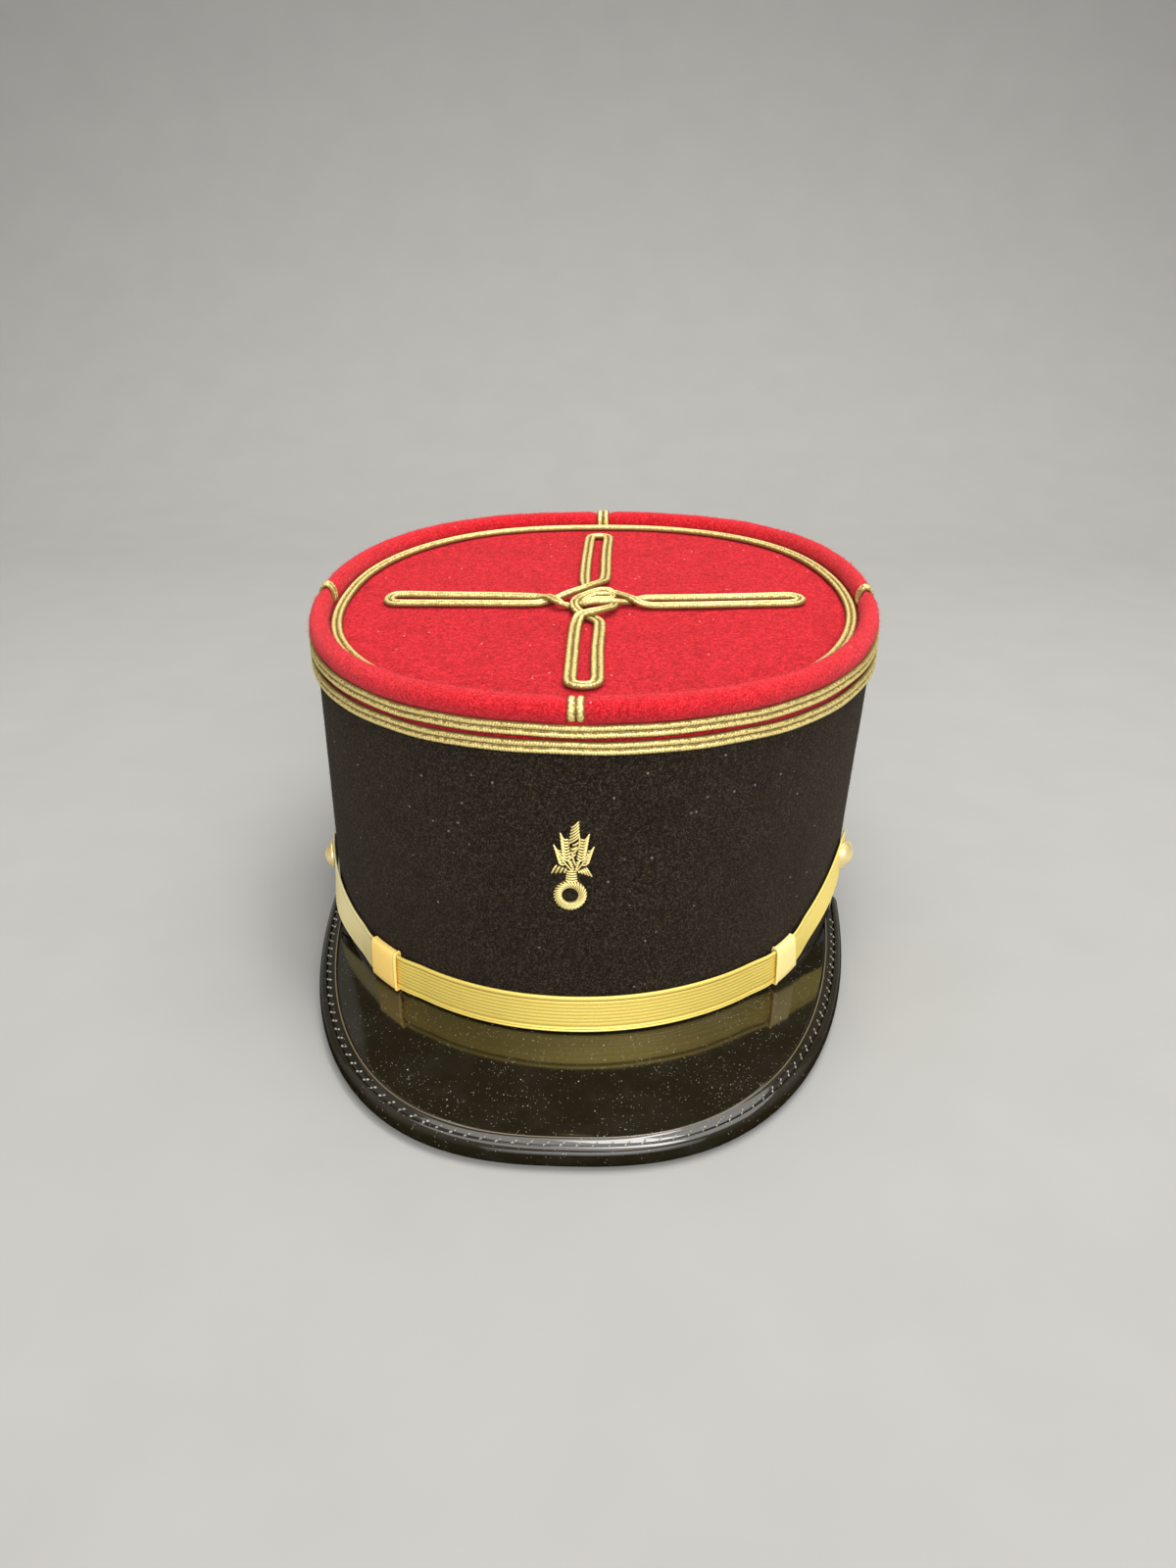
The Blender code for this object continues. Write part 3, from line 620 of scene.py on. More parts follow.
def make_felt_group():
    """Wool felt: matted fibres, cloudy tone and pale flecks of lint."""
    tones = ("Colour", "Dark Fibre", "Pale Fibre", "Fleck")
    results = ("Colour", "Roughness", "Height")
    tree, given, made = start_group("wool_felt", tones, ("Fleck Share", "Mottle"), results)
    where = object_place(tree)
    fine = noise_at(where, 2300.0, 2.0, 0.7)
    tufts = noise_at(where, 1150.0, 3.0, 0.75)
    grain = plus(times(fine, 0.5), times(tufts, 0.5))
    mottle = noise_at(where, 560.0, 3.0, 0.8)
    cloud = noise_at(where, 60.0, 4.0, 0.65)
    distance, chance, _, _ = cells_at(where, 700.0)
    rare = maths("LESS_THAN", chance, given["Fleck Share"])
    colour = given["Colour"]
    for share, tone in (
        (ramp(grain, 0.5, 0.36), "Dark Fibre"),
        (ramp(grain, 0.51, 0.62), "Pale Fibre"),
        (times(ramp(mottle, 0.5, 0.32), given["Mottle"]), "Dark Fibre"),
        (times(ramp(mottle, 0.5, 0.68), given["Mottle"]), "Pale Fibre"),
        (times(ramp(cloud, 0.5, 0.7), 0.3), "Dark Fibre"),
        (times(rare, ramp(distance, 0.3, 0.15)), "Fleck"),
    ):
        colour = blend(share, colour, given[tone])
    rough = plus(times(fine, 0.15), 0.82)
    connect(made, Colour=colour, Roughness=rough, Height=plus(times(fine, 0.6), tufts))
    return tree


def make_thread_group():
    """Gilt thread laid side by side: fine strands along the piece, some darker, and uneven shine."""
    results = ("Colour", "Roughness", "Height")
    settings = ("Along", "Across", "Roughness")
    tree, given, made = start_group("gilt_thread", ("Colour", "Shade"), settings, results)
    x, y = thread_place(tree)
    x, y = times(x, given["Along"]), times(y, given["Across"])
    strands = strands_at(x, y, 0.6)
    patches = strands_at(times(x, 0.11), times(y, 0.2), 0.6)
    dark = ramp(strands, 0.5, 0.3)
    colour = blend(times(dark, 0.6), given["Colour"], given["Shade"])
    colour = blend(times(ramp(patches, 0.5, 0.75), 0.25), colour, given["Shade"])
    connect(made, Colour=colour, Roughness=plus(given["Roughness"], times(dark, 0.25)), Height=strands)
    return tree


def make_soutache_group():
    """Painted shade on soutache: in the groove down its core, on its flanks, between its slanting threads,
    and in specks that grow away from the crests of its cords.
    """
    tree, _, made = start_group("soutache_painted_shade", (), (), ("Mask",))
    x, y = thread_place(tree)
    away = size_of(y)
    off_crest = maths("DIVIDE", size_of(minus(away, CORD_CREST)), CORD_CREST)
    threads = strands_at(times(x, 0.9), times(y, 1.5), 0.7)
    # painted shade: specks that grow away from each cord's crest, as shade on its rounded sides
    stipple = times(ramp(minus(threads, times(off_crest, 0.33)), 0.39, 0.24), 0.85)
    # painted shade in the groove between the cords, on the flanks and between the slanting threads
    core = thin_line(y, 0.0, 0.2)
    edge = times(ramp(away, 1.5, 1.8), 0.85)
    slant = times(minus(CORD_CREST, away), THREAD_SLANT / CORD_CREST)
    phase = times(plus(x, slant), math.pi)
    gap = times(ramp(size_of(maths("COSINE", phase)), 0.42, 0.1), 0.8)
    connect(made, Mask=maths("MAXIMUM", core, edge, stipple, gap))
    return tree


def make_lace_group():
    """Painted shade on the strap's lace, beside its top roll, in two grooves near its foot and between its
    ribs; and where it has no ribs.
    """
    tree, _, made = start_group("lace_painted_shade", (), (), ("Mask", "Plain", "Right"))
    x, y = thread_place(tree)
    phase = times(minus(y, LACE_RIB_AT), math.pi / LACE_RIB)
    # painted shade in the hollows between the ribs
    shade_between_ribs = ramp(size_of(maths("COSINE", phase)), 0.5, 0.15)
    inside = ramp(size_of(plus(y, 0.2)), 4.0, 3.8)
    left, right = RIBS_END
    between = times(ramp(x, left - 3, left), ramp(x, right + 3, right))
    fades = plus(times(between, 0.7), 0.3)
    # painted shade lines: beside the top roll and in two grooves near the foot
    groove_shade_lines = [
        times(thin_line(y, middle, half_width), depth, fades)
        for middle, half_width, depth in ((4.17, 0.22, 1.0), (-4.12, 0.13, 0.5), (-4.95, 0.1, 0.3))
    ]
    mask = maths("MAXIMUM", times(shade_between_ribs, inside, 0.36, between), *groove_shade_lines)
    # Right picks which plain end's colour is used; the left end is painted lighter, as painted light
    connect(made, Mask=mask, Plain=minus(1.0, between), Right=ramp(x, -10.0, 10.0))
    return tree


def make_dust_group():
    """Settled dust: sparse pale specks of three sizes and a faint haze over a clean surface."""
    results = ("Colour", "Roughness", "Mask")
    tree, given, made = start_group("settled_dust", ("Colour", "Dust"), ("Share", "Roughness"), results)
    where = object_place(tree)
    drifts = ramp(noise_at(where, 55.0, 3.0, 0.6), 0.35, 0.62)
    share = times(given["Share"], plus(times(drifts, 0.85), 0.15))
    masks = []
    for scale, size, less in ((650.0, 0.08, 0.4), (1500.0, 0.15, 0.9), (2800.0, 0.22, 1.2)):
        distance, chance, width, strength = cells_at(where, scale)
        rare = maths("LESS_THAN", chance, times(share, less))
        speck = maths("LESS_THAN", distance, plus(times(width, size), 0.05))
        masks.append(times(rare, speck, plus(times(strength, 0.7), 0.3)))
    specks = maths("MAXIMUM", *masks)
    mask = maths("MAXIMUM", specks, times(ramp(noise_at(where, 90.0, 4.0, 0.7), 0.45, 0.8), 0.012))
    dusty = blend(mask, given["Colour"], given["Dust"])
    connect(made, Colour=dusty, Roughness=plus(given["Roughness"], times(specks, 0.6)), Mask=mask)
    return tree


FELT = make_felt_group()
THREAD = make_thread_group()
SOUTACHE_SHADING = make_soutache_group()
LACE_SHADING = make_lace_group()
DUST = make_dust_group()


def start_finish(name, **constants):
    material = bpy.data.materials.new(name)
    material.use_nodes = True
    shader = material.node_tree.nodes["Principled BSDF"]
    connect(shader, **constants)
    return material, material.node_tree, shader


def use_group(tree, group, **inputs):
    return add(tree, "ShaderNodeGroup", {"node_tree": group}, **inputs).outputs


def wear(shader, base, roughness, height, depth):
    """Connects a finish to its shader, with its relief as a bump of a depth in metres."""
    bump = add(height.id_data, "ShaderNodeBump", Height=height, Distance=depth, Strength=1.0)
    connect(shader, Base_Color=base, Roughness=roughness, Normal=bump.outputs["Normal"])


def felt_finish(name, depth, sheen, **look):
    """Wool felt. The sheen is its weight, roughness and tint."""
    weight, roughness, tint = sheen
    constants = {"Sheen_Weight": weight, "Sheen_Roughness": roughness, "Sheen_Tint": tint}
    material, tree, shader = start_finish(name, Specular_IOR_Level=0.15, **constants)
    felt = use_group(tree, FELT, **look)
    wear(shader, felt["Colour"], felt["Roughness"], felt["Height"], depth)
    return material


def thread_finish(name, depth, metallic, painted_shading=None, shaded_colour=None, plain_colours=None, **look):
    """Gilt thread. The painted shading is a group that says where shade is painted on it, and where it is
    plain.
    """
    material, tree, shader = start_finish(name, Metallic=metallic)
    thread = use_group(tree, THREAD, **look)
    base = thread["Colour"]
    if painted_shading:
        found = use_group(tree, painted_shading)
        if plain_colours:
            plain = blend(found["Right"], *plain_colours)
            base = blend(times(found["Plain"], 0.75), base, plain)
        # painted shade: the shaded colour where the group's mask is set
        base = blend(found["Mask"], base, shaded_colour)
    wear(shader, base, thread["Roughness"], thread["Height"], depth)
    return material


def fibre_finish(name, dark, pale):
    """Loose fibres of a felt's nap, each patch its own tone."""
    material, tree, shader = start_finish(name, Roughness=0.85, Sheen_Weight=0.15, Specular_IOR_Level=0.2)
    tone = ramp(noise_at(object_place(tree), 2600.0, 1.0), 0.35, 0.65)
    connect(shader, Base_Color=blend(tone, dark, pale))
    return material


def patent_finish(name, share, rough, **constants):
    """Black lacquer on leather, with a share of dust."""
    settings = {"Coat_Weight": 1.0, "Coat_Roughness": 0.075, "Specular_IOR_Level": 0.3, **constants}
    material, tree, shader = start_finish(name, **settings)
    tones = {"Colour": (0.0112, 0.0086, 0.004), "Dust": (0.8, 0.76, 0.66)}
    dust = use_group(tree, DUST, Share=share, Roughness=rough, **tones)
    height = plus(noise_at(object_place(tree), 60.0), times(dust["Mask"], 0.15))
    wear(shader, dust["Colour"], dust["Roughness"], height, 0.00025)
    return material


def edge_finish():
    """Patent leather: a painted brown highlight along the border's inner crease, dull round the outside of
    the roll.
    """
    constants = {"Coat_IOR": 1.62, "Coat_Roughness": 0.06, "Specular_IOR_Level": 0.0}
    material = patent_finish("patent_edge", 0.08, 0.3, **constants)
    shader = material.node_tree.nodes["Principled BSDF"]
    _, row = thread_place(material.node_tree)
    lacquer = shader.inputs["Base Color"].links[0].from_socket
    # a thin brown line along the border's inner crease: a painted highlight
    wear_and_painted_highlight = blend(thin_line(row, 3.0, 0.75), lacquer, (0.17, 0.135, 0.075))
    connect(shader, Base_Color=wear_and_painted_highlight, Coat_Weight=ramp(row, *reversed(EDGE_DULL_ROWS)))
    return material


def waxed_finish():
    """Waxed thread of the border's stitches, painted paler than its own dark grey, as painted highlights."""
    material, tree, shader = start_finish("waxed_thread", Coat_Weight=0.6, Coat_Roughness=0.15)
    tone = ramp(noise_at(object_place(tree), 1800.0), 0.4, 0.6)
    # pale greys stand in for glints on the glossy stitches: painted highlight
    base = blend(tone, (0.11, 0.105, 0.085), (0.36, 0.345, 0.29))
    connect(shader, Base_Color=base, Roughness=plus(times(tone, 0.2), 0.25))
    return material


def gilt_finish():
    """Gilt metal, with a little wear and rubbing."""
    material, tree, shader = start_finish("gilt_metal", Metallic=0.7)
    where = object_place(tree)
    wear_and_painted_highlight = ramp(noise_at(where, 200.0, 3.0), 0.35, 0.75)
    rubbed = noise_at(where, 1500.0, 3.0, 0.7)
    base = blend(wear_and_painted_highlight, (1.0, 0.84, 0.44), (0.95, 0.74, 0.33))
    wear(shader, base, plus(times(rubbed, 0.12), 0.24), rubbed, 0.000006)
    return material


GOLD = (0.95, 0.78, 0.31)
GOLD_SHADE = (0.42, 0.28, 0.07)
# gold painted dark as shade, in the braids' grooves and for the bullion stitches lying lower
GOLD_PAINTED_SHADE = (0.14, 0.088, 0.014)

# the roll and the top are the same red cloth; the roll is painted lighter, as painted light
red_roll_felt = felt_finish(
    "red_roll_felt",
    depth=0.00045,
    sheen=(0.27, 0.45, (1.0, 0.33, 0.36)),
    Colour=(0.56, 0.007, 0.015),
    Dark_Fibre=(0.33, 0.002, 0.006),
    Pale_Fibre=(0.82, 0.035, 0.05),
    Fleck=(0.85, 0.3, 0.3),
    Fleck_Share=0.006,
    Mottle=0.3,
)
red_top_felt = felt_finish(
    "red_top_felt",
    depth=0.0006,
    sheen=(0.13, 0.4, (1.0, 0.3, 0.34)),
    Colour=(0.5, 0.0055, 0.0125),
    Dark_Fibre=(0.25, 0.002, 0.005),
    Pale_Fibre=(0.8, 0.032, 0.047),
    Fleck=(0.9, 0.35, 0.35),
    Fleck_Share=0.01,
    Mottle=0.55,
)
black_felt = felt_finish(
    "black_felt",
    depth=0.0005,
    sheen=(0.04, 0.5, (0.9, 0.7, 0.5)),
    Colour=(0.0092, 0.0058, 0.003),
    Dark_Fibre=(0.0015, 0.001, 0.0005),
    Pale_Fibre=(0.059, 0.042, 0.025),
    Fleck=(0.22, 0.19, 0.17),
    Fleck_Share=0.02,
    Mottle=0.15,
)
red_fibre = fibre_finish("red_fibre", (0.4, 0.004, 0.01), (0.82, 0.08, 0.095))
black_fibre = fibre_finish("black_fibre", (0.006, 0.004, 0.0025), (0.07, 0.05, 0.034))
soutache = thread_finish(
    "soutache",
    depth=0.00008,
    metallic=0.4,
    painted_shading=SOUTACHE_SHADING,
    shaded_colour=GOLD_PAINTED_SHADE,
    Colour=GOLD,
    Shade=GOLD_SHADE,
    Along=1.3,
    Across=1.8,
    Roughness=0.36,
)
lace = thread_finish(
    "lace",
    depth=0.00004,
    metallic=0.33,
    painted_shading=LACE_SHADING,
    # painted shade colour for the grooves and the hollows between the ribs
    shaded_colour=(0.24, 0.14, 0.02),
    # the plain ends are paler, and the left one paler still, as painted light on that side
    plain_colours=((1.0, 0.9, 0.5), (1.0, 0.8, 0.2)),
    Colour=(0.88, 0.69, 0.155),
    Shade=(0.66, 0.46, 0.085),
    Along=1.6,
    Across=5.0,
    Roughness=0.38,
)
slide_laces = {}
# the slides are the same lace; the right one is painted paler, as painted light from the right
for side, metallic, colour, shade in (
    ("left", 0.0, (1.0, 0.7, 0.2), (0.98, 0.6, 0.13)),
    ("right", 0.05, (1.0, 0.82, 0.34), (0.95, 0.72, 0.24)),
):
    look = {"Colour": colour, "Shade": shade, "Along": 5.0, "Across": 1.2, "Roughness": 0.5}
    slide_laces[side] = thread_finish("slide_lace_" + side, 0.00004, metallic, **look)
wire = {"depth": 0.00003, "Along": 3.0, "Across": 1.0}
bullion = thread_finish(
    "bullion", metallic=0.45, Colour=(0.97, 0.83, 0.36), Shade=GOLD_SHADE, Roughness=0.3, **wire
)
# the same bullion, painted dark as shade, for the stitches that lie lower between the bright ones
bullion_padding = thread_finish(
    "bullion_padding", metallic=0.3, Colour=(0.17, 0.11, 0.02), Shade=GOLD_PAINTED_SHADE, Roughness=0.5, **wire
)
gilt = gilt_finish()
patent = patent_finish("patent_leather", 0.19, 0.1)
patent_edge = edge_finish()
waxed_thread = waxed_finish()


# Camera, lights and floor


# The photo's camera, found from the cap's ovals
CAMERA_TURNS = (25.966, -2.681, -0.43)  # down, to the side and round its own line of sight
CAMERA_PLACE = (14.548, -341.86, 212.948)
CAMERA_LENS = 27.0
FLOOR = {"half width": 2.5, "back": 0.9, "front": -1.6, "rise": 1.4, "curve": 0.45}


def make_camera():
    pitch, yaw, roll = (math.radians(a) for a in CAMERA_TURNS)
    turn = Matrix.Rotation(yaw, 3, "Z")
    lay_down = Matrix(((1, 0, 0), (0, 0, -1), (0, 1, 0)))
    view = Matrix.Rotation(roll, 3, "Z") @ Matrix.Rotation(pitch, 3, "X") @ lay_down @ turn
    right, down, forward = view
    place = Matrix.Identity(4)
    for column, way in enumerate((right, -down, -forward)):
        for row in range(3):
            place[row][column] = way[row]
    camera = bpy.data.objects.new("camera", bpy.data.cameras.new("camera"))
    camera.data.lens = CAMERA_LENS
    camera.data.sensor_width = 36.0
    camera.data.clip_start = 0.01
    bpy.context.scene.collection.objects.link(camera)
    place.translation = Vector(CAMERA_PLACE) * MM
    camera.matrix_world = place
    bpy.context.scene.camera = camera


WARM_WHITE = (1.0, 0.98, 0.95)
LAMPS = (  # name, place, target, width and height, watts, spread in degrees, colour
    ("window", (0.2, 0.15, 1.3), (0, 0, 0.05), (1.6, 1.3), 8.3, 110, WARM_WHITE),
    ("fill", (0.25, -1.3, 0.75), (0, -0.05, 0.05), (2.0, 0.9), 8.0, 80, (1, 1, 1)),
    ("skylight", (0.2, 0.12, 1.28), (0, 0, 0.05), (0.9, 0.2), 2.4, 110, WARM_WHITE),
)


def make_lamp(name, place, target, size, watts, spread, colour):
    lamp = bpy.data.lights.new(name, "AREA")
    lamp.spread = math.radians(spread)
    lamp.shape = "RECTANGLE"
    lamp.size, lamp.size_y = size
    lamp.energy = watts
    lamp.color = colour
    holder = bpy.data.objects.new(name, lamp)
    holder.location = place
    way = Vector(target) - Vector(place)
    holder.rotation_euler = way.to_track_quat("-Z", "Y").to_euler()
    bpy.context.scene.collection.objects.link(holder)


def make_floor():
    """A sheet of pale paper that rises behind the cap."""
    put_down()
    bpy.ops.mesh.primitive_plane_add(size=2.0)
    floor = fresh("floor")
    open_mesh(floor)
    choose(floor, "edges", lambda edge: all(corner.co.y > 0.5 for corner in edge.verts))
    bpy.ops.mesh.extrude_region_move(TRANSFORM_OT_translate={"value": (0, 0, FLOOR["rise"])})
    close_mesh()
    places = spots(floor)
    places[:, 0] *= FLOOR["half width"]
    places[:, 1] = np.where(places[:, 1] > 0, FLOOR["back"], FLOOR["front"])
    set_spots(floor, places)
    apply(floor, "BEVEL", width=FLOOR["curve"], segments=16, limit_method="ANGLE")
    bpy.ops.object.shade_smooth()
    material, tree, shader = start_finish("pale_paper", Roughness=0.85, Specular_IOR_Level=0.2)
    tone = noise_at(object_place(tree), 30.0, 4.0)
    connect(shader, Base_Color=blend(tone, (0.31, 0.31, 0.3), (0.34, 0.34, 0.33)))
    floor.data.materials.append(material)
    put_down()


def light_the_room():
    world = bpy.data.worlds.new("room")
    bpy.context.scene.world = world
    world.use_nodes = True
    connect(world.node_tree.nodes["Background"], Color=(1.0, 0.97, 0.91), Strength=0.4)
    for lamp in LAMPS:
        make_lamp(*lamp)
    bpy.context.scene.view_settings.view_transform = "Standard"


make_camera()
make_floor()
light_the_room()


# Felt band


def riser_sink(angle):
    """How deep the short braids lie in the roll: least at the back."""
    return RISER_SINKS * (1 - RISER_BACK_EASE * limit(np.sin(angle)))


def riser_pinch(angle):
    """How far the short braids draw the padded roll in."""
    pinch = 0.0 * angle
    for degrees in RISERS.values():
        away = np.abs(np.angle(np.exp(1j * (angle - math.radians(degrees))))) * CROWN_RADIUS
        pinch = np.maximum(pinch, bell(np.clip(away - PINCH_HALF_WIDTH, 0, None), PINCH_FADES))
    return pinch


def make_band():
    band = tube("felt_band", around=240, rows=36)

    def place(x, y, z):
        angle = np.arctan2(y, x)
        share = z + 0.5
        low, high = band_edge(angle), felt_top(angle) + FELT_OVERLAP
        height = low + (high - low) * share
        around = 60 * np.cos(angle), 60 * np.sin(angle), height
        soft = 0.22 * lumps(*around, 26.0) + 0.05 * lumps(*around, 5.0, 7.0)
        return wall(angle, height, (soft - 0.05) * off_the_ends(share, 8))

    lay(band, place)
    apply(band, "SOLIDIFY", thickness=WALL, offset=-1, use_even_offset=True)
    round_edges(band, 0.7, 3)
    tidy_mesh(band)
    set_spots(band, np.maximum(spots(band), (-np.inf, -np.inf, 0.0)))
    return sew(band, black_felt, "black_felt", "band")


# Red crown


def roll_section():
    """Offsets and heights round the strip and its padded roll, starting at the strip's foot."""
    points = [(0.0, STRIP_BOTTOM), (-0.8, 4.3), (0.0, ROLL_FOOT - 0.6), (0.15, ROLL_FOOT + 0.1)]
    middle_out, middle_up = ROLL_MIDDLE
    for turn in np.linspace(-44, 212, 18):
        a = math.radians(turn)
        points.append((middle_out + ROLL_RADIUS * math.cos(a), middle_up + ROLL_RADIUS * math.sin(a)))
    under = DISC_TOP - DISC_THICKNESS
    points += [(RIM_INSIDE, DISC_TOP - 0.4), (RIM_INSIDE, under)]
    points += [(-WALL, under), (-WALL, 4.2), (-WALL, STRIP_BOTTOM), (-WALL / 2, STRIP_BOTTOM)]
    assert len(points) == ROLL_POINTS
    return np.array(points)


def make_roll():
    roll = torus("red_rim", ROLL_ROWS, ROLL_POINTS)
    angle = ring_angles(ROLL_ROWS, ROLL_POINTS)
    out, up = (np.tile(side, ROLL_ROWS) for side in roll_section().T)
    index = np.tile(np.arange(ROLL_POINTS), ROLL_ROWS)
    rounded = (index >= ROLL_ROUND[0]) & (index <= ROLL_ROUND[1])
    half_width, half_height = roll_shape(angle)
    pinch = riser_pinch(angle)
    x, y, z = crown(angle, out, up)
    soft = 0.2 * lumps(x, y, z * 1.5, 13.0) + 0.1 * lumps(x, y, z, 3.6, 3.0)
    soft = soft * (1 - pinch) - (riser_sink(angle) + 0.25) * pinch
    side_lift = RISER_SIDE_LIFT * pinch * np.abs(np.cos(angle))
    crease = bell(up - CREASE_UP, CREASE_WIDTH) * (out > 0) * front(angle) * (1 - pinch)
    soft = soft - CREASE_DEPTH * crease
    across, rise = (out - ROLL_MIDDLE[0]) / ROLL_RADIUS, (up - ROLL_MIDDLE[1]) / ROLL_RADIUS
    out = np.where(rounded, ROLL_MIDDLE[0] + across * (half_width + soft), out)
    up = np.where(rounded, ROLL_MIDDLE[1] + rise * (half_height + soft + side_lift), up)
    last_of_strip = index == ROLL_ROUND[0] - 1
    out = np.where(last_of_strip, out - 0.3 * (1 - front(angle)), out)
    set_spots(roll, np.stack(crown(angle, out, up), 1))
    tidy_mesh(roll)
    return sew(roll, red_roll_felt, "red_cloth", "crown_rim")


def make_disc():
    disc = tube("red_top", around=180, rows=46)

    def place(x, y, z):
        angle = np.arctan2(y, x)
        share = (0.5 - z) * (1 - DISC_HOLE) + DISC_HOLE
        edge_x, edge_y = top_oval(angle, DISC_EDGE)
        x = TOP_LEAN + (edge_x - TOP_LEAN) * share
        y = TOP_MIDDLE_Y + (edge_y - TOP_MIDDLE_Y) * share
        soft = 0.28 * lumps(x, y, 0, 22.0) + 0.08 * lumps(x, y, 0, 6.0, 5.0)
        free = limit((1 - share) * 12)
        return disc_surface(x, y, (soft - 0.3) * free)

    def at_middle(edge):
        away = Vector((TOP_LEAN, TOP_MIDDLE_Y)) - edge.verts[0].co.xy
        return edge.is_boundary and away.length < 20

    lay(disc, place)
    tidy_mesh(disc)
    open_mesh(disc)
    choose(disc, "edges", at_middle)
    bpy.ops.mesh.edge_face_add()
    bpy.ops.mesh.select_all(action="SELECT")
    bpy.ops.mesh.normals_make_consistent(inside=False)
    if sum(face.normal.z for face in bmesh.from_edit_mesh(disc.data).faces) < 0:
        bpy.ops.mesh.flip_normals()
    close_mesh()
    apply(disc, "SOLIDIFY", thickness=DISC_THICKNESS - 0.1, offset=-1)
    return sew(disc, red_top_felt, "red_cloth", "crown_top", sharp=50)


# Soutache


def braid_length(name, length):
    """A straight length of soutache along X. One turn of its threads is shaped and then repeated."""
    count = max(1, round(length / THREAD_PITCH))
    pitch = length / count
    around = len(BRAID_SECTION)
    put_down()
    bpy.ops.mesh.primitive_cylinder_add(
        vertices=around, radius=1, depth=pitch, end_fill_type="NOTHING", rotation=(0, math.pi / 2, 0)
    )
    braid = fresh(name, settle=True)
    open_mesh(braid)
    for share in (-0.25, 0.0, 0.25):
        bpy.ops.mesh.select_all(action="SELECT")
        bpy.ops.mesh.bisect(plane_co=(pitch * share, 0, 0), plane_no=(1, 0, 0))
    close_mesh()
    places = spots(braid)
    turn = np.arctan2(places[:, 2], places[:, 1])
    index = np.round(turn / (2 * np.pi / around)).astype(int) % around
    section = BRAID_SECTION[index]
    crest = np.sign(section[:, 0]) * CORD_CREST
    inward = (CORD_CREST - np.abs(section[:, 0])) / CORD_CREST
    phase = np.pi * (places[:, 0] / pitch + THREAD_SLANT * inward)
    on_cords = (index > 0) & (index < 10) & (index != 5)
    relief = THREAD_RELIEF * (np.abs(np.cos(phase)) - 0.7) * on_cords
    away = np.stack((section[:, 0] - crest, section[:, 1] - 0.45), 1)
    away /= np.linalg.norm(away, axis=1)[:, None] + 1e-6
    places[:, 1:] = section + away * relief[:, None]
    places[:, 0] += pitch / 2
    set_spots(braid, places)
    apply(
        braid,
        "ARRAY",
        count=count,
        use_relative_offset=False,
        use_constant_offset=True,
        constant_offset_displace=(pitch, 0, 0),
        use_merge_vertices=True,
        merge_threshold=0.01,
    )
    keep_flat(braid, spots(braid) / (pitch, 1, 1))
    return braid


def make_ring_braids():
    for seed, (name, foot) in enumerate(BRAID_FEET.items()):
        length, angle_at = measure_ring(lambda a: top_oval(a, GAP), math.pi / 2)
        braid = braid_length("soutache_" + name, length)
        middle = foot + BRAID_WIDTH / 2

        def place(x, y, z):
            turn = 2 * np.pi * x / length
            drift = 0.1 * np.sin(11 * turn + seed) + 0.07 * np.sin(23 * turn + 2 * seed)
            opens = (RED_LINE_OPENS if foot > 1 else -0.2) * np.cos(angle_at(x)) ** 2
            return crown(angle_at(x), GAP + z, middle + y * BRAID_PULL + drift + opens)

        lay(braid, place)
        tidy_mesh(braid)
        sew(braid, soutache, "gold_braid", name)
    length, angle_at = measure_ring(lambda a: top_oval(a, -TOP_BRAID_INSET), math.pi / 2)
    braid = braid_length("soutache_oval", length)

    def place_oval(x, y, z):
        drift = 0.12 * np.sin(9 * 2 * np.pi * x / length)
        angle = angle_at(x)
        sides = 0.7 * (1 - front(angle))
        pulled = y * (1 - 0.1 * np.abs(np.cos(angle)))
        return disc_surface(*top_oval(angle, -(TOP_BRAID_INSET - sides + pulled + drift)), GAP + z)

    lay(braid, place_oval)
    tidy_mesh(braid)
    sew(braid, soutache, "gold_braid", "top_oval_braid")


def make_risers():
    start, end = (math.radians(a) for a in RISER_ENDS)
    for side, degrees in RISERS.items():
        angle = math.radians(degrees)
        half_width, half_height = (float(size - riser_sink(angle)) for size in roll_shape(angle))
        half_height += RISER_SIDE_LIFT * abs(math.cos(angle))
        turns = np.linspace(start, end, 400)
        run = run_along(half_width * np.cos(turns), half_height * np.sin(turns))
        x0, y0 = top_oval(angle)
        out_x, out_y = round(math.cos(angle)), round(math.sin(angle))
        base = float(top_line(angle, y0))
        braid = braid_length("soutache_riser_" + side, run[-1])

        def place(x, y, z):
            a = np.interp(x, run, turns)
            spread = RISER_SPREAD - 0.05 * np.sin(np.clip(a, 0, np.pi))
            out = ROLL_MIDDLE[0] + (half_width + z * 0.85) * np.cos(a)
            up = ROLL_MIDDLE[1] + (half_height + z * 0.85) * np.sin(a)
            across = y * spread
            return x0 + out_x * out - out_y * across, y0 + out_y * out + out_x * across, base + up

        lay(braid, place)
        tidy_mesh(braid, caps=True)
        sew(braid, soutache, "gold_braid", "riser_braid_" + side)


# Knot


def smooth_line(stations, closed, steps=24):
    """A smooth line through stations, as points with their distance along it."""
    points = np.array(stations, float)
    if closed:
        points = np.concatenate((points[-1:], points, points[:2]))
    else:
        points = np.concatenate((2 * points[:1] - points[1:2], points, 2 * points[-1:] - points[-2:-1]))
    share = np.linspace(0, 1, steps, endpoint=False)[:, None]
    rows = [
        ease(share, b, c, (c - a) / 2, (d - b) / 2)
        for a, b, c, d in zip(points, points[1:], points[2:], points[3:])
    ]
    line = np.concatenate(rows + [points[-2][None, :]])
    return line, run_along(*line.T)


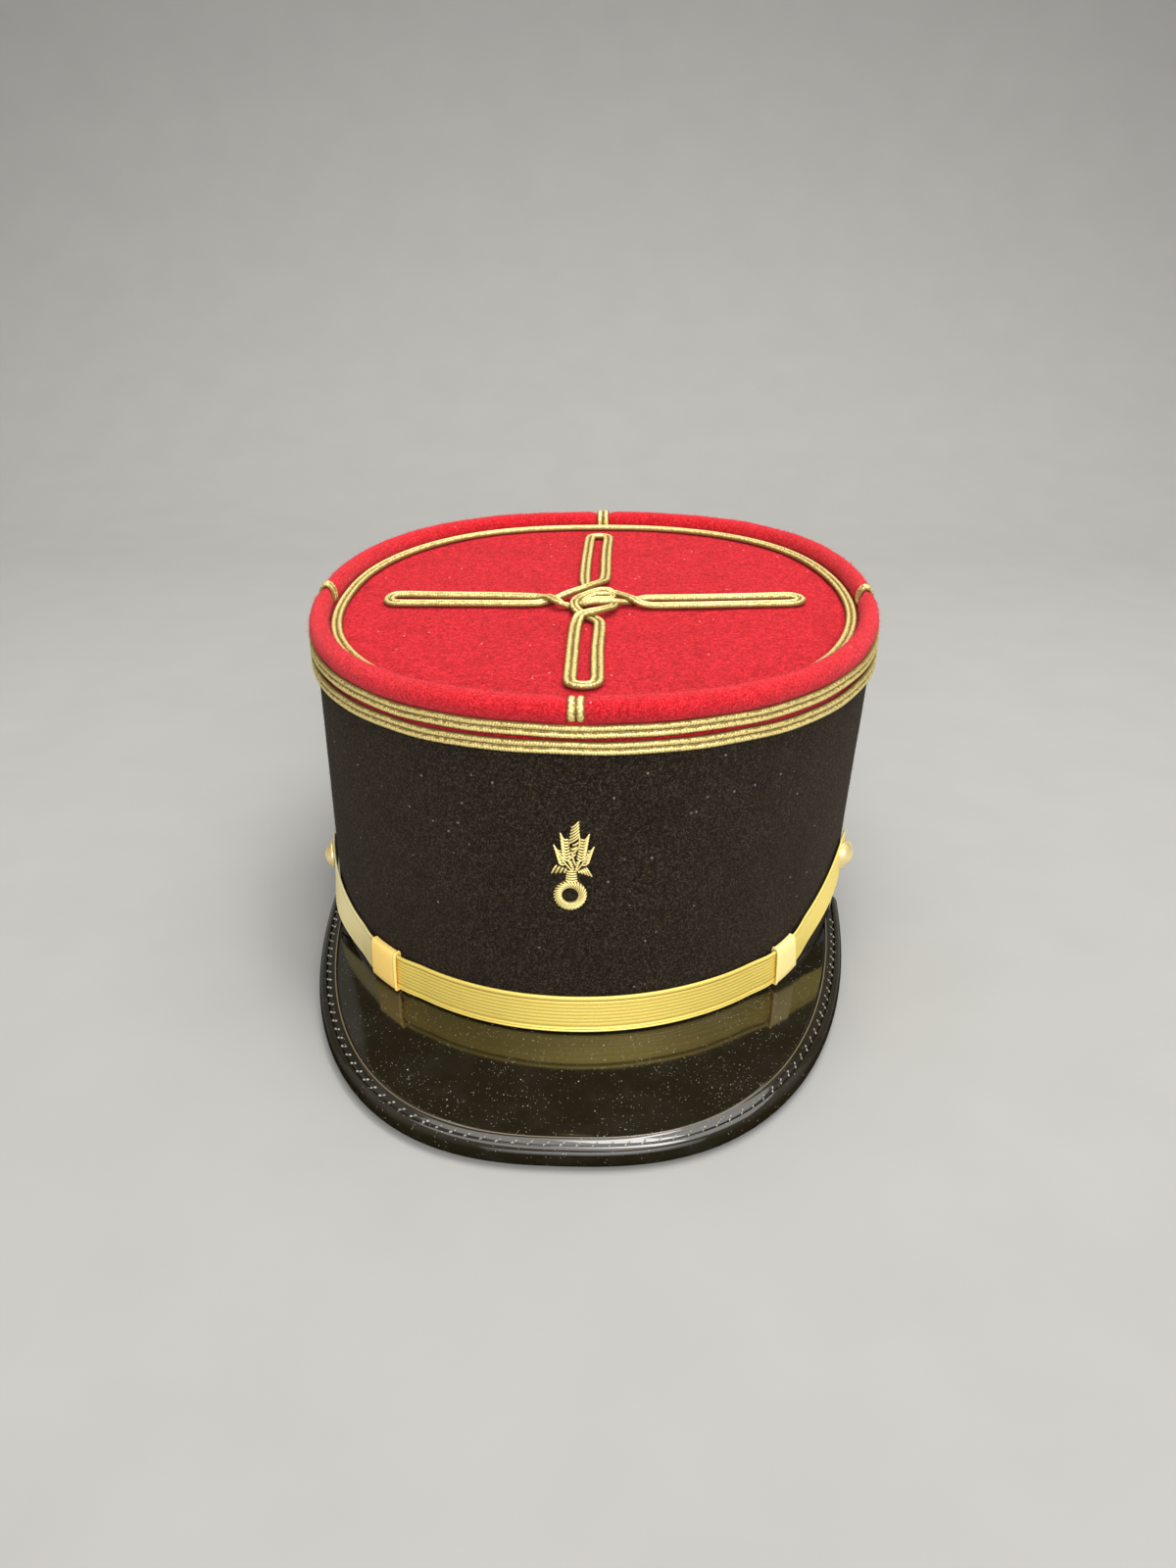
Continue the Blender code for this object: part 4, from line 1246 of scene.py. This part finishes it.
def along_line(line, run, closed):
    """Reads a smooth line: place and sideways direction at a distance."""
    ways = np.gradient(line[:, :2], run, axis=0)
    if closed:
        ways[0] = ways[-1] = (line[1, :2] - line[-2, :2]) / (run[1] + run[-1] - run[-2])
    ways /= np.linalg.norm(ways, axis=1)[:, None]

    def read(x):
        spot = [np.interp(x, run, line[:, i]) for i in range(line.shape[1])]
        way = np.stack([np.interp(x, run, ways[:, i]) for i in range(2)], 1)
        way /= np.linalg.norm(way, axis=1)[:, None]
        return spot, way

    return read


def lay_strand(name, stations, closed, narrows):
    line, run = smooth_line(stations, closed)
    braid = braid_length(name, run[-1])
    read = along_line(line, run, closed)

    def place(x, y, z):
        (spot_x, spot_y, lift), way = read(x)
        narrow = 1 - narrows * limit((17 - np.hypot(spot_x, spot_y)) / 5)
        x = spot_x - way[:, 1] * y * narrow + TOP_LEAN
        y = spot_y + way[:, 0] * y * narrow + KNOT_MIDDLE_Y
        return disc_surface(x, y, GAP + lift + z)

    lay(braid, place)
    tidy_mesh(braid, caps=not closed)
    return braid


def make_knot():
    knot = lay_strand("soutache_knot", KNOT_LINE, True, KNOT_NARROWS)
    core = lay_strand("soutache_knot_core", KNOT_CORE, False, CORE_NARROWS)
    sew(knot, soutache, "gold_braid", "top_knot")
    sew(core, soutache, "gold_braid")


# Strap, slides and buttons


def smooth_table(keys, values, key):
    """A value read smoothly from a table."""
    if key >= keys[-1]:
        return values[-1]
    i = max(k for k in range(len(keys) - 1) if keys[k] <= key)
    width = keys[i + 1] - keys[i]

    def slope(k):
        low, high = max(k - 1, 0), min(k + 1, len(keys) - 1)
        return (values[high] - values[low]) / (keys[high] - keys[low])

    return ease((key - keys[i]) / width, values[i], values[i + 1], slope(i) * width, slope(i + 1) * width)


class StrapLine:
    """The strap's middle line on the wall, unrolled: distance round the head, and height."""

    def __init__(self):
        self.degrees = np.linspace(-85, 85, 1361)
        self.turns = np.radians(np.linspace(-100, 100, FINE))
        run = run_along(*head_oval(self.turns - math.pi / 2))
        self.runs = run - run[FINE // 2]
        self.distances = np.interp(np.radians(self.degrees), self.turns, self.runs)
        self.heights = np.array(
            [
                smooth_table(STRAP_TURNS, STRAP_HEIGHTS["left" if turn < 0 else "right"], abs(turn))
                for turn in self.degrees
            ]
        )
        self.slants = np.arctan2(np.gradient(self.heights), np.gradient(self.distances))

    def distance(self, degrees):
        return np.interp(degrees, self.degrees, self.distances)

    def place(self, distance, across, out):
        """A point of the strap, at a distance from the front, across it and out from the wall."""
        height = np.interp(distance, self.distances, self.heights)
        slant = np.interp(distance, self.distances, self.slants)
        run = distance - np.sin(slant) * across
        angle = np.interp(run, self.runs, self.turns) - math.pi / 2
        return wall(angle, height + np.cos(slant) * across, out)

    def lift(self, distance):
        """How far the slides raise the strap off the wall."""
        away = [np.abs(distance - self.distance(turn)) - length / 2 for turn, length in SLIDES.values()]
        fade = limit(1 - (np.min(away, axis=0) - 1.0) / SLIDE_RAMP)
        return SLIDE_LIFT * fade * fade * (3 - 2 * fade)


def lace_relief(across):
    """How far the lace stands out: a rolled top edge, fine ribs and two cords at the foot."""
    half = STRAP_WIDTH / 2
    top_roll = limit((across - (half - LACE_TOP_ROLL)) / LACE_TOP_ROLL)
    low_cords = limit((-(half - LACE_LOW_CORDS) - across) / LACE_LOW_CORDS)
    ribs = 0.2 + 0.1 * np.abs(np.cos(np.pi * (across - LACE_RIB_AT) / LACE_RIB))
    for groove in LACE_GROOVES:
        ribs = ribs - 0.2 * bell(across - groove, 0.14)
    roll = 0.2 + 0.5 * np.sqrt(limit(1 - (2 * top_roll - 1) ** 2))
    cords = 0.14 + 0.36 * np.abs(np.sin(2 * np.pi * low_cords))
    return np.where(top_roll > 0, roll, np.where(low_cords > 0, cords, ribs))


def make_strap(line):
    strap = grid("lace_strap", columns=190, rows=80)
    left, right = (float(line.distance(degrees)) for degrees in STRAP_ENDS.values())
    middle, end = (left + right) / 2, (right - left) / 2

    def place(x, y, z):
        distance = middle + x * end
        tip = limit((1 - np.abs(x)) * end / 8.0)
        width = np.maximum(np.sqrt(1 - (1 - tip) ** 2), 0.3)
        across = y * STRAP_WIDTH / 2
        smooth = np.clip(np.maximum(RIBS_END[0] - distance, distance - RIBS_END[1]) / 4.0, 0, 0.75)
        relief = lace_relief(across) * (1 - smooth) + 0.3 * smooth
        flare = 0
        for turn, far in STRAP_FLARES.values():
            flare = flare + far * bell(distance - line.distance(turn), STRAP_FLARE_RUN)
        flare = flare * (0.5 - across / STRAP_WIDTH)
        out = GAP + line.lift(distance) + 0.5 + relief + flare
        return line.place(distance, across * width, out)

    keep_flat(strap, spots(strap) * (end, STRAP_WIDTH / 2, 1))
    lay(strap, place)
    apply(strap, "SOLIDIFY", thickness=0.5, offset=-1)
    tidy_mesh(strap)
    sew(strap, lace, "gold_lace", "chin_strap")


def make_slide(line, side, degrees, length):
    """A flat loop of lace round the strap, its edges corded."""
    around, along, outer = 40, 72, 28
    slide = torus("lace_slide_" + side, along, around)
    half = length / 2
    shares = np.linspace(-1, 1, outer)
    inward = shares if side == "left" else -shares
    cord = np.where(inward > 0.8, 0.5, np.where(inward < -0.88, 0.34, 0.0))
    outside = np.maximum(0.24 + 0.04 * np.abs(np.cos(np.pi * shares * 8)), cord)
    outside[np.abs(inward - 0.76) < 0.05] = 0.12  # groove beside the inner cord
    inside = np.linspace(1, -1, around - outer + 2)[1:-1]
    run = np.concatenate((shares * half, inside * half * 0.97))
    depth = np.concatenate((outside, np.full(len(inside), -0.22)))
    depth[[0, outer - 1]] = 0.05
    turn = ring_angles(along, around)
    run, depth = np.tile(run, along), np.tile(depth, along)
    across, out = (
        np.sign(part) * np.abs(part) ** SLIDE_SQUARENESS * (reach + depth)
        for part, reach in ((np.cos(turn), SLIDE_HALF_WIDTH), (np.sin(turn), SLIDE_HALF_DEPTH))
    )
    out = np.maximum(SLIDE_MIDDLE_OUT + out, SLIDE_LEAST_OUT)
    keep_flat(slide, np.stack((across, run), 1))
    set_spots(slide, np.stack(line.place(float(line.distance(degrees)) + run, across, out), 1))
    tidy_mesh(slide)
    sew(slide, slide_laces[side], "gold_lace", "strap_slide_" + side)


def unit(way):
    return way / np.linalg.norm(way)


def make_button(line, side):
    """Domed button: a disc raised in rings inside a rolled rim."""
    put_down()
    bpy.ops.mesh.primitive_cylinder_add(vertices=48, radius=BUTTON_RADIUS, depth=0.6, location=(0, 0, 0.3))
    button = fresh("gilt_button_" + side, settle=True)
    open_mesh(button)
    bpy.ops.mesh.select_mode(type="FACE")
    choose(button, "faces", lambda face: face.normal.z > 0.9)
    for inset, rise in BUTTON_RINGS:
        bpy.ops.mesh.inset(thickness=inset, depth=0)
        bpy.ops.transform.translate(value=(0, 0, rise))
    close_mesh()
    round_edges(button, 0.12, 2)
    apply(button, "SUBSURF", levels=1, render_levels=1)
    degrees, across, turn, out = BUTTONS[side]
    distance = line.distance(degrees)
    back = GAP + STRAP_THICKNESS + GAP + out
    base = np.array(line.place(distance, across, back), float)
    outward = unit(np.array(line.place(distance, across, back + 10), float) - base)
    outward = unit(outward - (0, math.tan(math.radians(turn)), 0))
    level = unit(np.cross((0, 0, 1), outward))
    set_spots(button, base + spots(button) @ np.stack((level, np.cross(outward, level), outward)))
    tidy_mesh(button)
    sew(button, gilt, "gilt_metal", "button_" + side)


# Peak


def peak_outline(angle, inset):
    half_length = PEAK_REACH + PEAK_MIDDLE_Y - inset
    return oval(angle, PEAK_HALF_WIDTH - inset, half_length, PEAK_MIDDLE_Y, PEAK_POWER, PEAK_POWER)


def outline_turn(y_wanted, inset):
    """How far from the front the outline reaches a place along the cap."""
    turns = np.linspace(0, math.pi / 2, FINE)
    return float(np.interp(y_wanted, peak_outline(-math.pi / 2 + turns, inset)[1], turns))


def edge_height(y):
    back = limit((y + PEAK_REACH) / (PEAK_REACH + EDGE_END_Y))
    return EDGE_HALF_HEIGHT + EDGE_RISE * back**1.5


def wall_meeting(edge_x, edge_y, back_x, back_y, height):
    """Share of the way from the border to the tuck at which the plate meets the band."""
    low, high = np.zeros_like(edge_x), np.ones_like(edge_x)
    for _ in range(30):
        half = (low + high) / 2
        x = edge_x + (back_x - edge_x) * half
        y = edge_y + (back_y - edge_y) * half
        angle = np.arctan2(y / HEAD_HALF_LENGTH, x / HEAD_HALF_WIDTH)
        wall_x, wall_y, _ = wall(angle, height, GAP)
        outside = np.hypot(x, y) > np.hypot(wall_x, wall_y)
        low, high = np.where(outside, half, low), np.where(outside, high, half)
    return low


def make_peak():
    peak = grid("patent_peak", columns=160, rows=30)
    inset = BORDER_WIDTH + GAP
    end = outline_turn(PEAK_END_Y, inset)

    def place(x, y, z):
        angle = -math.pi / 2 + x * end
        edge_x, edge_y = peak_outline(angle, inset)
        back_x, back_y = head_oval(-math.pi / 2 + (angle + math.pi / 2) * PEAK_FAN, -4.0)
        reach = wall_meeting(edge_x, edge_y, back_x, back_y, 7.0)
        share = (y + 1) / 2
        full = share * reach
        x = edge_x + (back_x - edge_x) * full
        y = edge_y + (back_y - edge_y) * full
        top = PEAK_TOP_AT_BORDER - EDGE_HALF_HEIGHT + edge_height(edge_y)
        height = top + (PEAK_TOP_AT_WALL - top) * full + PEAK_ARCH * np.sin(np.pi * full)
        height = height + PEAK_TUCK_RISE * limit((share - 0.75) * 4) ** 2
        return x, y, height + 0.12 * lumps(x, y, 0, 24.0, 11.0) * off_the_ends(share, 6)

    lay(peak, place)
    tidy_mesh(peak)
    if peak.data.polygons[0].normal.z < 0:
        open_mesh(peak)
        bpy.ops.mesh.flip_normals()
        close_mesh()
    apply(peak, "SOLIDIFY", thickness=PEAK_THICKNESS, offset=-1)
    round_edges(peak, 0.25, 2)
    sew(peak, patent, "patent_leather", "peak", sharp=40)


def edge_section():
    """Inset and height round the rolled edge and its stitched border."""
    points = [(5.1, 1.0), (5.1, 2.9), (5.05, 3.35), (4.85, 3.5), (4.65, 3.42), (4.5, 3.24), (4.0, 3.14)]
    points += [(3.3, 2.98), (2.8, 2.83), (2.5, 2.6), (2.38, 2.2), (2.3, 2.1)]
    for turn in np.linspace(92, 335, 24):
        a = math.radians(turn)
        points.append((EDGE_HALF_WIDTH * (0.98 + math.cos(a)), EDGE_HALF_HEIGHT * math.sin(a)))
    return np.array(points)


def place_on_edge(angle, inset, up):
    x, y = peak_outline(angle, inset)
    return x, y, edge_height(peak_outline(angle, 0.0)[1]) + up


def make_clearance():
    """The band's outside with a gap, as a solid that trims the binding's ends."""
    cutter = tube("trim", around=200, rows=2)
    lay(cutter, lambda x, y, z: wall(np.arctan2(y, x), 12 + 30 * z, GAP))
    tidy_mesh(cutter, caps=True)
    return cutter


def make_binding():
    section = edge_section()
    around = len(section)
    binding = tube("patent_binding", around, rows=100)
    end = outline_turn(EDGE_END_Y, EDGE_HALF_WIDTH)
    x, y, z = spots(binding).T
    index = np.round(np.arctan2(y, x) / (2 * np.pi / around)).astype(int) % around
    keep_flat(binding, np.stack((z, index), 1))
    set_spots(binding, np.stack(place_on_edge(-math.pi / 2 + 2 * z * end, *section[index].T), 1))
    tidy_mesh(binding, caps=True)
    cutter = make_clearance()
    apply(binding, "BOOLEAN", operation="DIFFERENCE", solver="EXACT", object=cutter)
    bpy.data.objects.remove(cutter)
    sew(binding, patent_edge, "patent_leather", "peak_binding", sharp=60)


def make_stitches():
    """Pairs of slanting stitches along the border. One stitch is made, and copies are set in place."""
    put_down()
    bpy.ops.mesh.primitive_uv_sphere_add(segments=8, ring_count=6, radius=1)
    stitch = fresh("stitch")
    x, y, up = (spots(stitch) * STITCH_SIZE).T
    slant = math.radians(STITCH_SLANT)
    along = x * math.cos(slant) - y * math.sin(slant)
    inward = x * math.sin(slant) + y * math.cos(slant)
    end = outline_turn(STITCH_END_Y, EDGE_HALF_WIDTH)
    turns = np.linspace(-math.pi / 2 - end, -math.pi / 2 + end, FINE)
    run = run_along(*peak_outline(turns, STITCH_INSET))
    count = round(run[-1] / STITCH_PITCH)
    made = []
    for i in range(count):
        for half in (-STITCH_HALF_PAIR, STITCH_HALF_PAIR):
            angle = np.interp(run[-1] * (i + 0.5) / count + half + along, run, turns)
            inset = STITCH_INSET + 0.8 * half + inward
            made.append(copy(stitch))
            set_spots(made[-1], np.stack(place_on_edge(angle, inset, 2.9 + 0.15 * half + up), 1))
    bpy.data.objects.remove(stitch)
    sew(join("peak_stitches", made), waxed_thread, "patent_leather")


# Badge

# Groups of stitches: how many, then the first and the last of them, each from and to,
# as across from the ring's middle and up from it, and how far their middles sag.
STITCHES = (
    (4, (-4.65, 5.7), (-3.4, 8.1), (-1.6, 6.0), (-0.9, 7.4), -0.25),  # drooping leaves
    (5, (5.2, 5.0), (3.6, 7.7), (2.3, 6.1), (1.6, 6.7), -0.25),
    (6, (-4.3, 13.6), (-2.4, 11.8), (-3.1, 9.2), (-1.2, 8.4), 0.35),  # outer flames
    (6, (5.5, 13.2), (3.9, 12.0), (4.5, 9.2), (2.4, 8.4), 0.35),
    (8, (-2.8, 16.8), (-0.7, 15.1), (-2.2, 10.6), (0.1, 10.2), 0.75),  # flames beside the middle one
    (8, (4.3, 16.6), (2.1, 15.2), (3.6, 10.6), (1.3, 10.2), 0.75),
    (6, (1.7, 19.9), (-0.2, 18.2), (2.0, 16.0), (-0.8, 14.0), 0.1),  # middle flame
    (5, (1.9, 14.6), (0.2, 13.6), (0.4, 9.2), (-0.9, 9.6), 0.1),
    (4, (-1.0, 9.6), (0.5, 9.0), (0.2, 7.6), (1.0, 7.3), 0.1),  # small flames under the cords
    (4, (2.4, 9.6), (1.2, 9.0), (1.6, 7.6), (1.0, 7.2), 0.1),
    (3, (-0.2, 12.6), (1.4, 12.9), (0.2, 11.0), (1.2, 11.2), 0.1),
    (5, (-1.3, 4.1), (1.8, 4.0), (-1.1, 6.7), (1.5, 6.7), 0.1),  # neck
)
CORDS = (  # raised cords of the badge, through these points
    ((-3.0, 11.8), (-1.6, 9.4), (0.1, 7.2), (0.9, 6.5)),
    ((4.2, 11.4), (2.8, 8.9), (1.6, 7.2), (0.9, 6.5)),
    ((1.7, 16.8), (2.0, 14.8), (1.7, 13.1), (0.4, 11.5), (0.7, 9.7), (1.2, 8.3)),
)
RING_STITCHES = 28
RING_SLANT = 0.55
RING_RADII = (1.95, 4.1)
STITCH_LIFT = 0.12
UNDERLAY = 0.34  # how far the stitches between the others lie lower; they are painted darker, as shade


def coil(length, around=8):
    """A straight length of bullion: a close coil of wire with drawn-in ends."""
    rings = max(4, round(length / COIL_PITCH))
    piece = tube("coil", around, 2 * rings)

    def place(x, y, z):
        share = z + 0.5
        swell = 1 + 0.1 * np.cos(2 * np.pi * rings * share)
        end = limit(np.minimum(share, 1 - share) * length / 0.35)
        radius = COIL_RADIUS * swell * (0.35 + 0.65 * np.sqrt(1 - (1 - end) ** 2))
        return share * length, y * radius, x * radius

    lay(piece, place)
    keep_flat(piece, spots(piece))
    return piece


def stitch_down(points, lift, arch):
    """Lays a coil of bullion on the felt through points across and up."""
    line, run = smooth_line(np.array(points) * BADGE_SCALE, False)
    read = along_line(line, run, False)
    piece = coil(run[-1])

    def place(x, y, z):
        (across, up), way = read(x)
        across = across - way[:, 1] * y
        up = up + way[:, 0] * y
        out = GAP + lift + z + arch * np.sin(np.pi * limit(x / run[-1])) ** 0.7
        angle = -math.pi / 2 + (across + BADGE_SHIFT) / HEAD_HALF_WIDTH
        return wall(angle, BADGE_HEIGHT + up, out)

    lay(piece, place)
    tidy_mesh(piece, caps=True)
    return piece


def make_badge():
    made = ([], [])  # the bright stitches, and the ones that lie lower between them, painted darker as shade

    def stitch(i, points, arch):
        made[i % 2].append(stitch_down(points, STITCH_LIFT - UNDERLAY * (i % 2), arch))

    small, large = RING_RADII
    for i in range(2 * RING_STITCHES):
        a = math.pi * i / RING_STITCHES
        turns = ((small, a - RING_SLANT), ((small + large) / 2, a - 0.6 * RING_SLANT), (large, a))
        stitch(i, [(reach * math.cos(turn), reach * math.sin(turn)) for reach, turn in turns], 0.6)
    for count, first_from, first_to, last_from, last_to, sag in STITCHES:
        steps = 2 * (count - 1)
        for i in range(steps + 1):
            start, end = (
                [a + (b - a) * i / steps for a, b in zip(first, last)]
                for first, last in ((first_from, last_from), (first_to, last_to))
            )
            stitch(i, (start, ((start[0] + end[0]) / 2, (start[1] + end[1]) / 2 - sag), end), 0.4)
    bright, dark = made
    for points in CORDS:
        bright.append(stitch_down(points, 0.6, 0.15))
    sew(join("bullion_badge", bright), bullion, "gold_bullion", "front_badge")
    sew(join("bullion_padding", dark), bullion_padding, "gold_bullion")


# Loose fibres

NAP_FOOT = 2.0  # no fibres below this height, so that none reaches the floor


def make_fibre():
    """One curved wool fibre, 1 mm long."""
    put_down()
    bpy.ops.mesh.primitive_cone_add(vertices=3, radius1=0.036, radius2=0, depth=1.0, location=(0, 0, 0.5))
    fibre = fresh("fibre", settle=True)
    open_mesh(fibre)
    bpy.ops.mesh.bisect(plane_co=(0, 0, 0.45), plane_no=(0, 0, 1))
    close_mesh()
    places = spots(fibre)
    places[:, 0] += 0.4 * places[:, 2] ** 2
    set_spots(fibre, places * MM)
    return fibre


def raise_nap(name, ground, fibre, finish, slot, count, sizes, keep, seed):
    """Scatters fibres over the faces of a felt piece that keep() is true for."""
    field = copy(ground)
    field.parent = None
    pick_up(field)
    shape = bmesh.new()
    shape.from_mesh(field.data)
    bmesh.ops.delete(shape, geom=[face for face in shape.faces if not keep(face)], context="FACES")
    area = sum(face.calc_area() for face in shape.faces)
    shape.to_mesh(field.data)
    shape.free()
    tree = bpy.data.node_groups.new(name, "GeometryNodeTree")
    for side in ("INPUT", "OUTPUT"):
        tree.interface.new_socket(name="Geometry", in_out=side, socket_type="NodeSocketGeometry")
    inputs = {"Mesh": add(tree, "NodeGroupInput").outputs[0], "Density": count / area, "Seed": seed}
    points = add(tree, "GeometryNodeDistributePointsOnFaces", **inputs).outputs
    hair = add(tree, "GeometryNodeObjectInfo", Object=fibre).outputs["Geometry"]
    limits = {"n0": (-1.1, -1.1, -3.14), "n1": (1.1, 1.1, 3.14)}
    tilt = add(tree, "FunctionNodeRandomValue", {"data_type": "FLOAT_VECTOR"}, Seed=seed + 1, **limits)
    limits = {"n2": sizes[0], "n3": sizes[1]}
    size = add(tree, "FunctionNodeRandomValue", {"data_type": "FLOAT"}, Seed=seed + 2, **limits)
    turn = add(
        tree,
        "FunctionNodeRotateRotation",
        {"rotation_space": "LOCAL"},
        Rotation=points["Rotation"],
        Rotate_By=tilt.outputs[0],
    )
    placed = add(
        tree,
        "GeometryNodeInstanceOnPoints",
        Points=points["Points"],
        Instance=hair,
        Rotation=turn.outputs[0],
        Scale=size.outputs[1],
    )
    solid = add(tree, "GeometryNodeRealizeInstances", Geometry=placed.outputs["Instances"])
    add(tree, "NodeGroupOutput", n0=solid.outputs[0])
    field.name = name
    field.data.name = name
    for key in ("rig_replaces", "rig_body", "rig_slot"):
        if key in field:
            del field[key]
    apply(field, "NODES", node_group=tree)
    set_spots(field, spots(field) / MM - MIDDLE)
    sew(field, finish, slot)


def make_naps(band, roll, disc):
    fibre = make_fibre()
    middle = Vector(MIDDLE) * MM

    def outside(face):
        place = face.calc_center_median()
        away = place - middle
        outwards = face.normal.x * away.x + face.normal.y * away.y > 0.02
        return outwards and abs(face.normal.z) < 0.9 and place.z > NAP_FOOT * MM

    def not_under(face):
        return face.normal.z > -0.3

    def on_top(face):
        return face.normal.z > 0.5

    for name, ground, finish, slot, count, sizes, keep, seed in (
        ("black_nap", band, black_fibre, "black_felt", 11000, (0.4, 1.1), outside, 3),
        ("red_roll_nap", roll, red_fibre, "red_cloth", 16000, (0.4, 1.6), not_under, 5),
        ("red_top_nap", disc, red_fibre, "red_cloth", 11000, (0.3, 0.95), on_top, 8),
    ):
        raise_nap(name, ground, fibre, finish, slot, count, sizes, keep, seed)
    bpy.data.objects.remove(fibre)


line = StrapLine()
band = make_band()
roll = make_roll()
disc = make_disc()
make_ring_braids()
make_risers()
make_knot()
make_strap(line)
for side, (degrees, length) in SLIDES.items():
    make_slide(line, side, degrees, length)
for side in BUTTONS:
    make_button(line, side)
make_peak()
make_binding()
make_stitches()
make_badge()
make_naps(band, roll, disc)
